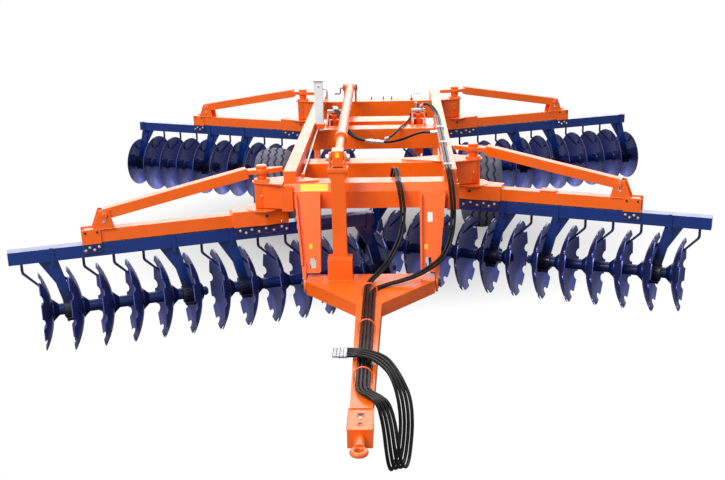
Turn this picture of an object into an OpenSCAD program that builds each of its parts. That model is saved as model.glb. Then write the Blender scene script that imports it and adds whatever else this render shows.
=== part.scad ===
// Trailed disc harrow with four folding gangs in an X layout.
// Units are millimetres, +Y points to the rear, +Z up, the hitch is at -Y.

/* [Layout] */
// Sideways distance of a fold pin from the centre line
pivot_x = 865; // [820:5:920]
// Lengthways place of the front left fold pin, from the front left end disc
front_pivot_y = 613; // [590:1:640]
// How far the front right gang stands behind the front left one
stagger = 710; // [650:5:760]
// Lengthways place of the rear fold pins
rear_pivot_y = 4400; // [4300:5:4500]
// Angle of a gang to the crossways line
gang_angle = 20; // [15:0.5:24]
// Front fold pin to the rim of the outermost disc
front_reach = 1793; // [1700:1:1850]
// Rear fold pin to the rim of the outermost disc
rear_reach = 2251; // [2150:1:2300]

/* [Discs] */
// Distance between neighbouring discs
disc_pitch = 230; // [215:1:250]
// Number of discs on each gang
disc_count = 13; // [13:1:13]
// Number of discs on the outer shaft of a gang
outer_count = 6; // [6:1:6]
// Diameter of a working disc
disc_d = 660; // [610:5:680]
// Diameter of the outermost front disc
front_end_d = 610; // [560:5:660]
// Diameter of the outermost rear disc
rear_end_d = 560; // [510:5:660]
// Thickness of a disc
disc_t = 6; // [5:0.5:8]
// Depth of the dish from hub to rim
dish = 90; // [75:1:100]
// Radius of the flat centre of a disc
flat_r = 88; // [86:1:100]
// Number of notches round a front disc
notch_count = 10; // [8:1:12]
// Radius of a notch
notch_r = 40; // [25:1:45]

/* [Shafts and bearings] */
// Radius of the shaft inside a disc
core_r = 25; // [20:1:30]
// Radius of the neck of a spool
neck_r = 45; // [38:1:48]
// Radius of the flared end of a spool
bell_r = 85; // [70:1:86]
// Length of the flare of a spool
bell_l = 48; // [35:1:50]
// Radius of the small flange of a spool
flange_r = 62; // [55:1:70]
// Running gap round a pin, a shaft or a bore
fit = 0.3; // [0.2:0.05:0.5]
// Radius of a bearing housing
housing_r = 74; // [68:1:80]
// Length of a bearing housing
housing_l = 104; // [80:1:112]

/* [Gang beams] */
// Side of the square gang beam
gang_beam = 100; // [90:2:110]
// Height of the underside of a gang beam
gang_beam_z = 740; // [725:1:760]
// Beam past the last rim on the hollow side of the discs
beam_over = 190; // [150:5:220]
// Beam start inside the first rim on the round side of the discs
beam_in = 45; // [20:5:80]
// Least distance of a rear gang beam from the centre line
mid_gap = 150; // [120:5:190]
// Width of the leg of a standard
leg_w = 80; // [60:2:90]
// Thickness of the leg of a standard
leg_t = 36; // [28:2:40]
// How far the leg leans to the hollow side
leg_lean = 104; // [90:2:112]
// Width of a scraper bar
scraper_w = 26; // [20:1:28]
// Thickness of a scraper bar
scraper_t = 8; // [6:1:10]

/* [Booms] */
// Side of the square boom
boom = 100; // [90:2:104]
// Fold pin to the middle of the outer bracket
boom_l = 1360; // [1300:5:1400]
// Gap between boom and gang beam, filled by the clamp plates
clamp_t = 10; // [8:1:12]
// Side of the square strut
strut = 84; // [70:2:90]
// Radius of a fold pin
pin_r = 32; // [28:1:36]
// Height of the top of a fold pin
pin_top = 1312; // [1305:1:1330]

/* [Main frame] */
// Height of the underside of the crossbeams
frame_z = 985; // [980:1:1000]
// Side of the square crossbeams
beam = 200; // [180:5:210]
// Half length of a crossbeam
beam_x = 700; // [690:5:740]
// Sideways place of a rail
rail_x = 634; // [600:2:640]
// Width and height of a rail
rail = 100; // [90:2:110]
// Front edge bevel of the front crossbeam, height
bevel_h = 65; // [50:1:80]
// Front edge bevel of the front crossbeam, depth
bevel_d = 35; // [25:1:45]
// Lengthways place of the middle of the axle crossbeam
axle_beam_y = 2800; // [2780:5:2820]
// Radius of a fold column
column_r = 62; // [58:1:70]
// Plate thickness of the frame
plate = 14; // [12:1:16]

/* [Hitch] */
// Lengthways place of the drawbar hinge
hinge_y = 280; // [270:1:290]
// Height of the drawbar hinge
hinge_z = 435; // [430:1:445]
// Radius of a drawbar hinge pin
hinge_r = 25; // [20:1:28]
// Half width of the drawbar yoke
yoke_x = 500; // [495:1:502]
// Height of the top of the yoke and drawbar
bar_z = 490; // [480:1:500]
// Lengthways place of the middle of the hitch eye
eye_y = -2400; // [-2450:5:-2350]
// Height of the hitch eye
eye_z = 425; // [415:1:430]
// Radius of the hole of the hitch eye
eye_r = 25; // [22:1:28]
// Radius of the round section of the hitch eye
eye_wire_r = 16; // [14:1:18]
// Sideways place of the mast
mast_x = -235; // [-260:1:-220]
// Lengthways place of the pin of the mast
mast_y = 300; // [295:1:305]
// Height of the pin of the mast
mast_z = 1445; // [1435:1:1455]

/* [Top link] */
// Sideways place of the rear link pin
link_x = -320; // [-330:1:-300]
// Lengthways place of the rear link pin
link_y = 4350; // [4340:1:4360]
// Height of the rear link pin
link_z = 1335; // [1325:1:1345]
// Radius of the link tube
link_r = 47; // [42:1:50]
// Radius of the link rod
link_rod_r = 35; // [30:1:37]
// Rod out of the tube at rest
link_out = 820; // [780:5:860]

/* [Wheels] */
// Sideways place of the middle of a wheel
wheel_x = 1090; // [1080:1:1100]
// Lengthways place of the wheels
wheel_y = 3300; // [3280:1:3320]
// Radius of a tyre
tyre_r = 437; // [430:1:437]
// Width of a tyre
tyre_w = 400; // [380:2:404]
// Radius of a rim
rim_r = 205; // [195:1:215]
// Radius of a wheel spindle
spindle_r = 40; // [35:1:45]
// Lengthways place of the rockshaft
rock_y = 2750; // [2740:1:2760]
// Height of the rockshaft
rock_z = 800; // [790:1:810]
// Radius of the rockshaft
rock_r = 70; // [60:1:75]
// Sideways place of a lift cylinder
lift_x = 430; // [420:1:440]

/* [Hidden] */
$fn = 96;
rail_len_end = rear_pivot_y + beam / 2;
axis_z = disc_d / 2;
// Sphere of the round side of a disc
dish_c = (pow(disc_d / 2, 2) - pow(flat_r, 2) + dish * dish) / (2 * dish);
dish_s = sqrt(flat_r * flat_r + dish_c * dish_c);
function dish_at(r) = dish_c - sqrt(dish_s * dish_s - r * r);
// Rear reach of the rear end discs, for centring the part
rear_end_s = dish_at(rear_end_d / 2);
rear_end = rear_pivot_y + (rear_reach + dish - rear_end_s) * sin(gang_angle)
    + rear_end_d / 2 * cos(gang_angle);
eye_ring = eye_r + eye_wire_r - 4;
front_end = eye_y - eye_ring - eye_wire_r;
mid_y = (front_end + rear_end) / 2;
hub_gap = disc_pitch - disc_t;
boom_z = gang_beam_z + gang_beam + clamp_t;
boom_top = boom_z + boom;
beam_top = frame_z + beam;
rail_top = beam_top + rail;
front_w0 = front_reach - (disc_count - 1) * disc_pitch - dish;
rear_w0 = -rear_reach - dish;
last = disc_count - 1;
// Rear discs that fit between the reach and the middle of the machine
rear_last = min(last, floor((rear_reach + (pivot_x - mid_gap) / cos(gang_angle) - beam_over) / disc_pitch));
front_gaps = [0, 5, 7, last - 1];
rear_gaps = [0, 4, 6, rear_last - 1];
inner_count = disc_count - outer_count;
hose_r = 11;
// Link direction and length
link_d = [mast_x - link_x, mast_y - link_y, mast_z - link_z];
link_l = norm(link_d);
link_yaw = atan2(link_d[0], -link_d[1]);
link_tilt = atan2(link_d[2], norm([link_d[0], link_d[1]]));
// Lift cylinder pins
lift_top_y = 3150;
lift_top_z = 1240;
lug_y = 3120;
lug_z = 660;
lift_dy = lug_y - lift_top_y;
lift_dz = lug_z - lift_top_z;
lift_l = norm([lift_dy, lift_dz]);
lift_tilt = atan2(lift_dy, -lift_dz);
eye_gap = 6;
lift_gap = 10;

module orange() color([0.86, 0.28, 0.08]) children();
module blue() color([0.03, 0.13, 0.42]) children();
module dark() color([0.05, 0.05, 0.055]) children();
module steel() color([0.6, 0.62, 0.63]) children();

// Shifts the machine so that its box is centred on the origin
module machine() translate([0, -mid_y, 0]) children();

// Box from two corners
module block(a, b) translate(a) cube(b - a);

// Cylinder along X from x0 to x1 at y, z
module bar_x(x0, x1, y, z, r) translate([x0, y, z]) rotate([0, 90, 0]) cylinder(r = r, h = x1 - x0);

// Plate in the y-z plane from x0 to x1
module plate_x(x0, x1, pts) translate([x0, 0, 0]) rotate([90, 0, 90]) linear_extrude(x1 - x0) polygon(pts);

// Flat bar in a plane from p to q
module strip(p, q, w) {
    d = (q - p) / norm(q - p);
    n = [-d[1], d[0]] * w / 2;
    polygon([p + n, p - n, q - n, q + n]);
}

// Points of a smooth route through hand-set points
function unit(v) = v / norm(v);
function spline(a, b, c, d, t) = 0.5 * (2 * b + (c - a) * t + (2 * a - 5 * b + 4 * c - d) * t * t
    + (3 * b - a - 3 * c + d) * t * t * t);
function route(p, n) = let (m = len(p) - 1) concat(
    [for (i = [0:m - 1]) for (k = [0:n - 1])
        spline(p[max(i - 1, 0)], p[i], p[i + 1], p[min(i + 2, m)], k / n)], [p[m]]);
function slope(p, i) = unit(p[min(i + 1, len(p) - 1)] - p[max(i - 1, 0)]);

// Round hose along a route
module hose(p, r, up, sides = 8) {
    m = len(p);
    rings = [for (i = [0:m - 1]) let (t = slope(p, i), a = unit(cross(up, t)), b = cross(t, a))
        for (k = [0:sides - 1]) p[i] + r * (cos(360 * k / sides) * a + sin(360 * k / sides) * b)];
    walls = [for (i = [0:m - 2]) for (k = [0:sides - 1])
        let (a = i * sides + k, b = i * sides + (k + 1) % sides) each
        [[a, b, b + sides], [a, b + sides, a + sides]]];
    polyhedron(rings, concat([[for (k = [0:sides - 1]) sides - 1 - k]],
        walls, [[for (k = [0:sides - 1]) (m - 1) * sides + k]]));
}

// Gang frame: origin under the fold pin, +X outward along the gang
module gang(side, row) {
    y = row < 0 ? front_pivot_y + (side > 0 ? stagger : 0) : rear_pivot_y;
    translate([side * pivot_x, y, 0]) mirror([side < 0 ? 1 : 0, 0, 0])
        rotate([0, 0, row * gang_angle]) children();
}

// String frame: +X to the hollow side of the discs
module string(row) mirror([row > 0 ? 1 : 0, 0, 0]) children();
function w0(row) = row < 0 ? front_w0 : rear_w0;
function last_k(row) = row < 0 ? last : rear_last;
function end_k(row) = row < 0 ? last : 0;
function end_d(row) = row < 0 ? front_end_d : rear_end_d;
function k_range(row, out) = row < 0
    ? (out ? [inner_count, last] : [0, inner_count - 1])
    : (out ? [0, outer_count - 1] : [outer_count, rear_last]);

// One dished disc, hub face at z 0, hollow side up
module disc(d, notched) {
    difference() {
        intersection() {
            cylinder(d = d, h = dish + 3 * disc_t);
            union() {
                cylinder(r = flat_r, h = disc_t);
                translate([0, 0, dish_c]) difference() {
                    sphere(r = dish_s);
                    sphere(r = dish_s - disc_t);
                }
            }
        }
        translate([0, 0, -1]) cylinder(r = core_r + fit, h = disc_t + 4);
        if (notched) for (i = [0:notch_count - 1]) rotate([0, 0, (i + 0.5) * 360 / notch_count])
            translate([d / 2 + 6, 0, -1]) cylinder(r = notch_r, h = dish + 5 * disc_t);
    }
}

module discs(side, row, out) {
    r = k_range(row, out);
    blue() gang(side, row) string(row) for (k = [r[0]:r[1]])
        translate([w0(row) + k * disc_pitch, 0, axis_z]) rotate([0, 90, 0])
            disc(k == end_k(row) ? end_d(row) : disc_d, row < 0);
}

// Shaft with spools between the discs and nuts at its ends
module shaft(side, row, out) {
    r = k_range(row, out);
    n = r[1] - r[0];
    dark() gang(side, row) string(row)
        translate([w0(row) + r[0] * disc_pitch, 0, axis_z]) rotate([0, 90, 0]) {
            translate([0, 0, -62]) cylinder(r = core_r, h = 62 + n * disc_pitch + disc_t + 52);
            translate([0, 0, -52]) cylinder(r = 38, h = 30, $fn = 6);
            translate([0, 0, -22]) cylinder(r1 = neck_r + 6, r2 = bell_r, h = 22);
            for (k = [0:n - 1]) translate([0, 0, k * disc_pitch + disc_t]) spool();
            translate([0, 0, n * disc_pitch + disc_t]) {
                cylinder(r = flange_r, h = 16);
                cylinder(r = 38, h = 44, $fn = 6);
            }
        }
}

module spool() {
    cylinder(r = flange_r, h = 14);
    translate([0, 0, 14]) cylinder(r1 = flange_r - 6, r2 = neck_r, h = 14);
    cylinder(r = neck_r, h = hub_gap);
    translate([0, 0, hub_gap - bell_l]) cylinder(r1 = neck_r, r2 = bell_r - 4, h = bell_l - 8);
    translate([0, 0, hub_gap - 8]) cylinder(r = bell_r, h = 8);
}

// Gang beam with its standards, bearing housings and scrapers
module gang_beam_unit(side, row) {
    gaps = row < 0 ? front_gaps : rear_gaps;
    wa = w0(row) + dish + beam_in;
    wb = w0(row) + dish + last_k(row) * disc_pitch + beam_over;
    h = gang_beam / 2;
    blue() gang(side, row) string(row) {
        block([wa, -h, gang_beam_z], [wb, h, gang_beam_z + gang_beam]);
        for (g = gaps) translate([bearing_w(row, g), 0, 0]) difference() {
            standard();
            translate([0, 0, axis_z]) rotate([0, 90, 0])
                cylinder(r = neck_r + fit, h = housing_l + 40, center = true);
        }
        for (k = [0:last_k(row)]) translate([w0(row) + k * disc_pitch, 0, 0]) scraper(min(
            k == end_k(row) ? end_d(row) / 2 : axis_z, axis_z));
    }
}
function bearing_w(row, g) = w0(row) + g * disc_pitch + disc_t + 18 + housing_l / 2 + 12;

module standard() {
    translate([-housing_l / 2, 0, axis_z]) rotate([0, 90, 0]) cylinder(r = housing_r, h = housing_l);
    translate([0, leg_t / 2 - 10, 0]) rotate([90, 0, 0]) linear_extrude(leg_t) {
        polygon([[-leg_w / 2, axis_z], [leg_w / 2, axis_z],
            [leg_lean + leg_w / 2, gang_beam_z - fit], [leg_lean - leg_w / 2, gang_beam_z - fit]]);
    }
    translate([0, 2, 0]) rotate([90, 0, 0]) linear_extrude(plate)
        polygon([[leg_lean, gang_beam_z - fit], [leg_lean + leg_w / 2 + 60, gang_beam_z - fit],
            [leg_lean + leg_w / 2 + 60, gang_beam_z - 16],
            [leg_lean * 0.45 + leg_w / 2, axis_z + 0.5 * (gang_beam_z - axis_z)]]);
    block([leg_lean - 14, -gang_beam / 2 - 12, gang_beam_z - 30],
        [leg_lean + 14, -gang_beam / 2 - fit, gang_beam_z + gang_beam + 8]);
    block([leg_lean - 14, -gang_beam / 2 - 12, gang_beam_z - 30],
        [leg_lean + 14, -leg_t / 2, gang_beam_z - 10]);
}

// Bent scraper bar under the beam, ending inside the dish
module scraper(r) {
    a = dish + 100;
    tip_r = 0.52 * r;
    tip = [dish_at(tip_r) + disc_t + 14, axis_z + tip_r];
    translate([0, 34 + scraper_w / 2, 0]) rotate([90, 0, 0]) linear_extrude(scraper_w) {
        strip([a, gang_beam_z - fit], [a, gang_beam_z - 100], scraper_t);
        strip([a, gang_beam_z - 100], tip, scraper_t);
        translate([a, gang_beam_z - 100]) circle(d = scraper_t, $fn = 24);
    }
}

// Boom over the gang beam with root box, clamps and fold pin
root_clamp_l = 440;
tip_clamp_l = 140;
module boom_unit(side, row) {
    h = boom / 2;
    root_top = frame_z - 10;
    g = gang_beam / 2;
    orange() gang(side, row) {
        translate([0, 0, boom_z]) linear_extrude(root_top - boom_z)
            polygon([[-190, -64], [0, -96], [262, -66], [262, 66], [0, 96], [-190, 64]]);
        translate([0, 0, root_top - plate]) cylinder(r = 118, h = plate);
        block([240, -h, boom_z], [boom_l + 50, h, boom_top]);
        for (x = [-185, boom_l - tip_clamp_l / 2]) {
            l = x < 0 ? root_clamp_l : tip_clamp_l;
            block([x, -g - 16, boom_z - clamp_t], [x + l, g + 16, boom_z]);
            for (s = [-1, 1]) block([x, s * (g + fit + 8) - 8, boom_z - 70],
                [x + l, s * (g + fit + 8) + 8, boom_z]);
        }
        for (s = [-1, 1]) block([boom_l - tip_clamp_l / 2, s * (h + 8) - 8, boom_z - 1],
            [boom_l + tip_clamp_l / 2, s * (h + 8) + 8, boom_top + 8]);
        for (s = [-1, 1]) plate_lug(s * (strut / 2 + 8));
        cylinder_pin();
    }
}
lug_u = boom_l - 112;
lug_h = boom_top + 112;
module plate_lug(y) translate([0, y + 7, 0]) rotate([90, 0, 0]) linear_extrude(14)
    polygon([[lug_u - 70, boom_top - 1], [lug_u + 100, boom_top - 1], [lug_u + 40, lug_h + 36],
        [lug_u - 36, lug_h + 36]]);
module cylinder_pin() {
    translate([0, 0, boom_z + 2]) cylinder(r = pin_r, h = pin_top - boom_z - 2);
    translate([0, 0, pin_top - 14]) cylinder(r = pin_r + 9, h = 14);
}

// Strut from the outer lug up to the top of the fold pin
strut_top = pin_top - 16;
strut_h = 36;
strut_in = 118;
module strut_unit(side, row) {
    zi = strut_top - strut_h / 2;
    p = [lug_u, lug_h];
    q = [strut_in, zi - 6];
    orange() gang(side, row) difference() {
        union() {
            translate([0, strut / 2, 0]) rotate([90, 0, 0]) linear_extrude(strut) strip(p, q, strut);
            translate([0, 0, strut_top - strut_h]) linear_extrude(strut_h)
                polygon([[strut_in + 30, -34], [strut_in + 30, 34], [0, 48], [-175, 12], [-175, -12],
                    [0, -48]]);
            translate([0, 0, strut_top - strut_h]) cylinder(r = 58, h = strut_h);
        }
        translate([0, 0, strut_top - strut_h - 1]) cylinder(r = pin_r + fit, h = strut_h + 2);
    }
}

// Fold column at the end of a crossbeam
module column(side, y) translate([side * pivot_x, y, 0]) {
    s = -side;
    difference() {
        union() {
            translate([0, 0, frame_z]) cylinder(r = column_r, h = beam + 30);
            translate([0, 0, frame_z]) linear_extrude(beam) polygon([[0, column_r - 4], [0, 4 - column_r],
                [s * (pivot_x - beam_x), -beam / 2], [s * (pivot_x - beam_x), beam / 2]]);
            translate([0, 0, beam_top]) linear_extrude(12) polygon([[0, 80], [0, -80],
                [s * (pivot_x - rail_x - rail / 2 - 2), -150], [s * (pivot_x - rail_x - rail / 2 - 2), 150]]);
            translate([0, 0, beam_top]) cylinder(r = 80, h = 12);
        }
        translate([0, 0, frame_z - 1]) cylinder(r = pin_r + fit, h = beam + 40);
    }
}

module front_crossbeam() orange() {
    y = front_pivot_y;
    plate_x(-beam_x, beam_x - 40, [[y - beam / 2, frame_z], [y + beam / 2, frame_z],
        [y + beam / 2, beam_top], [y - beam / 2 + bevel_d, beam_top], [y - beam / 2, beam_top - bevel_h]]);
    column(-1, y);
}

module second_crossbeam() orange() {
    y = front_pivot_y + stagger;
    block([-rail_x - rail / 2, y - beam / 2, frame_z], [beam_x, y + beam / 2, beam_top]);
    column(1, y);
    translate([0, y, beam_top]) linear_extrude(12)
        polygon([[rail_x - rail / 2 - 2, 120], [rail_x - rail / 2 - 2, -120], [250, -20], [250, 20]]);
}

module axle_crossbeam() orange() {
    y = axle_beam_y;
    block([-beam_x, y - beam / 2, frame_z], [beam_x, y + beam / 2, beam_top]);
    for (x = [-lift_x, lift_x]) for (s = [-1, 1]) difference() {
        plate_x(x + s * 62 - 8, x + s * 62 + 8, [[y + beam / 2 - 1, beam_top - 120],
            [lift_top_y + 40, beam_top - 120], [lift_top_y + 40, lift_top_z + 40],
            [lift_top_y - 60, lift_top_z + 40], [y + beam / 2 - 40, beam_top + 20],
            [y + beam / 2 - 40, beam_top - 1], [y + beam / 2 - 1, beam_top - 1]]);
        bar_x(x - 90, x + 90, lift_top_y, lift_top_z, 20 + fit);
    }
    block([62 - lift_x, lift_top_y - 50, beam_top - 120], [lift_x - 62, lift_top_y + 230, beam_top]);
}

module rear_crossbeam() orange() {
    y = rear_pivot_y;
    block([-beam_x, y - beam / 2, frame_z], [beam_x, y + beam / 2, beam_top]);
    column(-1, y);
    column(1, y);
    for (s = [-1, 1]) difference() {
        plate_x(link_x + s * 62 - 9, link_x + s * 62 + 9, [[link_y - 48, beam_top - 1],
            [link_y + 120, beam_top - 1], [link_y + 46, link_z + 46], [link_y - 46, link_z + 46]]);
        bar_x(link_x - 80, link_x + 80, link_y, link_z, 22 + fit);
    }
}

module rail_beam(side) orange() block(
    [side * rail_x - rail / 2, front_pivot_y - beam / 2 + bevel_d, beam_top],
    [side * rail_x + rail / 2, rail_len_end, rail_top]);

// Raked leg that carries the drawbar hinge
leg_top = beam_top - bevel_h - 6;
leg_in = 390;
leg_out = 592;
ear_x = yoke_x + 6;
module leg(side) {
    y1 = front_pivot_y - beam / 2;
    lean = atan((leg_out - ear_x - 18) / (leg_top - hinge_z));
    face = [[y1 - 46, leg_top], [y1, leg_top], [y1, frame_z], [hinge_y + 74, hinge_z - 6],
        [hinge_y - 70, hinge_z - 6]];
    orange() mirror([side < 0 ? 1 : 0, 0, 0]) {
        difference() {
            union() {
                difference() {
                    translate([leg_out, 0, leg_top]) rotate([0, lean, 0]) translate([-leg_out, 0, -leg_top])
                        plate_x(leg_out - plate, leg_out, face);
                    block([ear_x - 40, hinge_y - 200, hinge_z - 200],
                        [ear_x + 100, hinge_y + 300, hinge_z + 60]);
                }
                plate_x(ear_x, ear_x + 18, [[hinge_y - 70, hinge_z - 8], [hinge_y + 70, hinge_z - 8],
                    [hinge_y + 128, hinge_z + 175], [hinge_y, hinge_z + 175]]);
                bar_x(ear_x, ear_x + 18, hinge_y, hinge_z, 70);
                difference() {
                    plate_x(leg_in, leg_in + plate, face);
                    block([leg_in - 5, hinge_y - 200, hinge_z - 100],
                        [leg_in + 40, hinge_y + 300, hinge_z + 110]);
                }
                difference() {
                    plate_x(leg_in + plate / 2, ear_x + 8, web(y1));
                    block([leg_in + 40, 0, hinge_z + 125], [ear_x - 30, y1, hinge_z + 200]);
                }
                plate_x(ear_x, leg_out - plate, [[y1 - 18, leg_top], [y1 - 4, leg_top],
                    [y1 - 104, leg_top - 260], [y1 - 118, leg_top - 260]]);
            }
            bar_x(ear_x - 10, ear_x + 40, hinge_y, hinge_z, hinge_r + fit);
        }
    }
}
function web(y1) = [[y1 - 18, leg_top], [y1 - 4, leg_top],
    [hinge_y + 6, hinge_z + 92], [hinge_y - 8, hinge_z + 92]];

// Hangers under the axle crossbeam that carry the rockshaft
hang_x = 590;
module axle_hangers() orange() for (s = [-1, 1]) difference() {
    union() {
        plate_x(s * hang_x - 25, s * hang_x + 25, [[axle_beam_y - 90, frame_z], [rock_y - 100, rock_z],
            [rock_y + 100, rock_z], [axle_beam_y + 90, frame_z]]);
        bar_x(s * hang_x - 25, s * hang_x + 25, rock_y, rock_z, 100);
    }
    bar_x(s * hang_x - 40, s * hang_x + 40, rock_y, rock_z, rock_r + fit);
}

// Rockshaft with wheel arms, spindles and cylinder lugs
arm_x = 800;
module rockshaft() orange() {
    d = [wheel_y - rock_y, axis_wheel() - rock_z];
    bar_x(-arm_x, arm_x, rock_y, rock_z, rock_r);
    for (s = [-1, 1]) {
        translate([s * arm_x - 35, 0, 0]) rotate([90, 0, 90]) linear_extrude(70)
            strip([rock_y, rock_z] - 0.12 * d, [rock_y, rock_z] + 1.1 * d, 120);
        bar_x(min(s * arm_x, s * (wheel_x + 60)), max(s * arm_x, s * (wheel_x + 60)), wheel_y,
            axis_wheel(), spindle_r);
        for (t = [-1, 1]) difference() {
            translate([s * lift_x + t * 42 - 8, 0, 0]) rotate([90, 0, 90]) linear_extrude(16) {
                strip([rock_y, rock_z], [lug_y, lug_z], 90);
                translate([lug_y, lug_z]) circle(r = 45);
            }
        }
        bar_x(s * lift_x - 54, s * lift_x + 54, lug_y, lug_z, 20);
    }
}
function axis_wheel() = tyre_r;

// Lift cylinder: barrel hangs from the axle crossbeam, rod reaches the lug
module lift_frame(side) translate([side * lift_x, lift_top_y, lift_top_z])
    rotate([lift_tilt, 0, 0]) children();
module lift_barrel(side) orange() lift_frame(side) {
    difference() {
        union() {
            translate([0, 0, -400]) difference() {
                cylinder(r = 48, h = 360);
                translate([0, 0, -1]) cylinder(r = 22 + fit, h = 330);
            }
            rotate([0, 90, 0]) cylinder(r = 40, h = 50, center = true);
            translate([-25, -30, -60]) cube([50, 60, 60]);
        }
        rotate([0, 90, 0]) cylinder(r = 20 + fit, h = 60, center = true);
    }
    rotate([0, 90, 0]) cylinder(r = 20, h = 164, center = true);
}
module lift_rod(side) steel() lift_frame(side) difference() {
    union() {
        translate([0, 0, -lift_l + 30]) cylinder(r = 22, h = 340);
        translate([0, 0, -lift_l]) rotate([0, 90, 0]) cylinder(r = 42, h = 46, center = true);
    }
    translate([0, 0, -lift_l]) rotate([0, 90, 0]) cylinder(r = 20 + lift_gap, h = 60, center = true);
}

// Drawbar: yoke plate, box arm and sleeve for the eye
sleeve_y = -2000;
module drawbar() orange() {
    yoke = [[-yoke_x, 345], [yoke_x, 345], [yoke_x, 180], [95, -310], [-95, -310], [-yoke_x, 180]];
    difference() {
        union() {
            translate([0, 0, bar_z - 105]) linear_extrude(105) polygon(yoke);
            translate([0, 0, bar_z - 120]) linear_extrude(120)
                polygon([[-98, 0], [98, 0], [66, sleeve_y], [-66, sleeve_y]]);
            block([-72, sleeve_y - 250, eye_z - 58], [72, sleeve_y + 10, eye_z + 58]);
            for (s = [-1, 1]) bar_x(s > 0 ? yoke_x - 60 : -ear_x - 18, s > 0 ? ear_x + 18 : 60 - yoke_x,
                hinge_y, hinge_z, hinge_r);
        }
        translate([0, sleeve_y - 251, eye_z]) rotate([-90, 0, 0]) cylinder(r = 32 + fit, h = 200);
        for (y = [sleeve_y - 80, sleeve_y - 180]) translate([0, y, eye_z - 80]) cylinder(r = 12, h = 200);
    }
}

module hitch_eye() orange() difference() {
    union() {
        translate([0, sleeve_y - 240, eye_z]) rotate([90, 0, 0])
            cylinder(r = 32, h = -eye_y + sleeve_y - 240 - eye_ring + 4);
        translate([0, sleeve_y - 80, eye_z]) rotate([90, 0, 0]) cylinder(r = 32, h = 180);
        translate([0, eye_y, eye_z]) rotate_extrude() translate([eye_ring, 0]) circle(r = eye_wire_r);
    }
    translate([0, eye_y, eye_z - 50]) cylinder(r = eye_r, h = 100);
}

// Mast on the yoke with the fork for the top link
module mast() orange() {
    block([mast_x - 95, mast_y - 110, bar_z], [mast_x + 95, mast_y + 45, bar_z + 170]);
    block([mast_x - 55, mast_y - 55, bar_z + 169], [mast_x + 55, mast_y + 45, mast_z - 95]);
    for (s = [-1, 1]) plate_x(mast_x + s * 58 - 8, mast_x + s * 58 + 8, [[mast_y - 50, mast_z - 160],
        [mast_y + 45, mast_z - 160], [mast_y + 45, mast_z + 20], [mast_y + 25, mast_z + 42],
        [mast_y - 30, mast_z + 42], [mast_y - 50, mast_z + 20]]);
    bar_x(mast_x - 84, mast_x + 84, mast_y, mast_z, 20);
}

// Top link between rear crossbeam and mast
module link_frame() translate([link_x, link_y, link_z]) rotate([0, 0, link_yaw])
    rotate([-link_tilt, 0, 0]) children();
link_bore = 500;
module link_tube() orange() link_frame() {
    difference() {
        union() {
            translate([0, -30, 0]) rotate([90, 0, 0]) cylinder(r = link_r, h = link_l - link_out - 30);
            translate([0, link_out - link_l + 60, 0]) rotate([90, 0, 0]) cylinder(r = link_r + 9, h = 60);
            rotate([0, 90, 0]) cylinder(r = 46, h = 86, center = true);
        }
        translate([0, link_out - link_l - 1, 0]) rotate([-90, 0, 0])
            cylinder(r = link_rod_r + fit, h = link_bore);
    }
    rotate([link_tilt, 0, 0]) rotate([0, 0, -link_yaw]) rotate([0, 90, 0])
        cylinder(r = 22, h = 160, center = true);
}
module link_rod() orange() link_frame() difference() {
    union() {
        translate([0, 50 - link_l, 0]) rotate([-90, 0, 0]) cylinder(r = link_rod_r, h = link_out + 250);
        translate([-43, -link_l - 48, -60]) cube([86, 158, 118]);
    }
    translate([0, -link_l, 0]) rotate([0, 90, 0]) cylinder(r = 20 + eye_gap, h = 100, center = true);
}

// Wheel parts
module tyre(side) dark() translate([side * wheel_x, wheel_y, tyre_r]) rotate([0, 90, 0]) {
    w = tyre_w / 2;
    rotate_extrude() polygon([[rim_r + fit, -w * 0.72], [rim_r + 55, -w * 0.95], [rim_r + 110, -w],
        [tyre_r - 84, -w * 0.95], [tyre_r - 44, -w * 0.82], [tyre_r - 18, -w * 0.62], [tyre_r - 5, -w * 0.34],
        [tyre_r, 0], [tyre_r - 5, w * 0.34], [tyre_r - 18, w * 0.62], [tyre_r - 44, w * 0.82],
        [tyre_r - 84, w * 0.95], [rim_r + 110, w], [rim_r + 55, w * 0.95], [rim_r + fit, w * 0.72]]);
}
module rim(side) orange() translate([side * wheel_x, wheel_y, tyre_r]) rotate([0, 90, 0]) difference() {
    w = tyre_w * 0.36;
    union() {
        difference() {
            cylinder(r = rim_r, h = 2 * w, center = true);
            cylinder(r = rim_r - 12, h = 2 * w + 2, center = true);
        }
        translate([0, 0, side * 40 - 8]) cylinder(r = rim_r - 6, h = 16);
        translate([0, 0, -70]) cylinder(r = 75, h = 150);
    }
    translate([0, 0, side < 0 ? -62 : -200]) cylinder(r = spindle_r + fit, h = 262);
}

// Stored parking jack beside the left rail
jack_y = 2600;
jack_w = 80;
jack_top = 1690;
jack_foot = 136;
module parking_jack() steel() translate([(jack_w - 2 * rail_x + rail) / 2, jack_y, 0]) {
    block([-jack_w / 2, -jack_w / 2, beam_top + 20], [jack_w / 2, jack_w / 2, jack_top]);
    block([-jack_foot / 2, -jack_foot / 2, jack_top], [jack_foot / 2, jack_foot / 2, jack_top + 12]);
}

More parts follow.
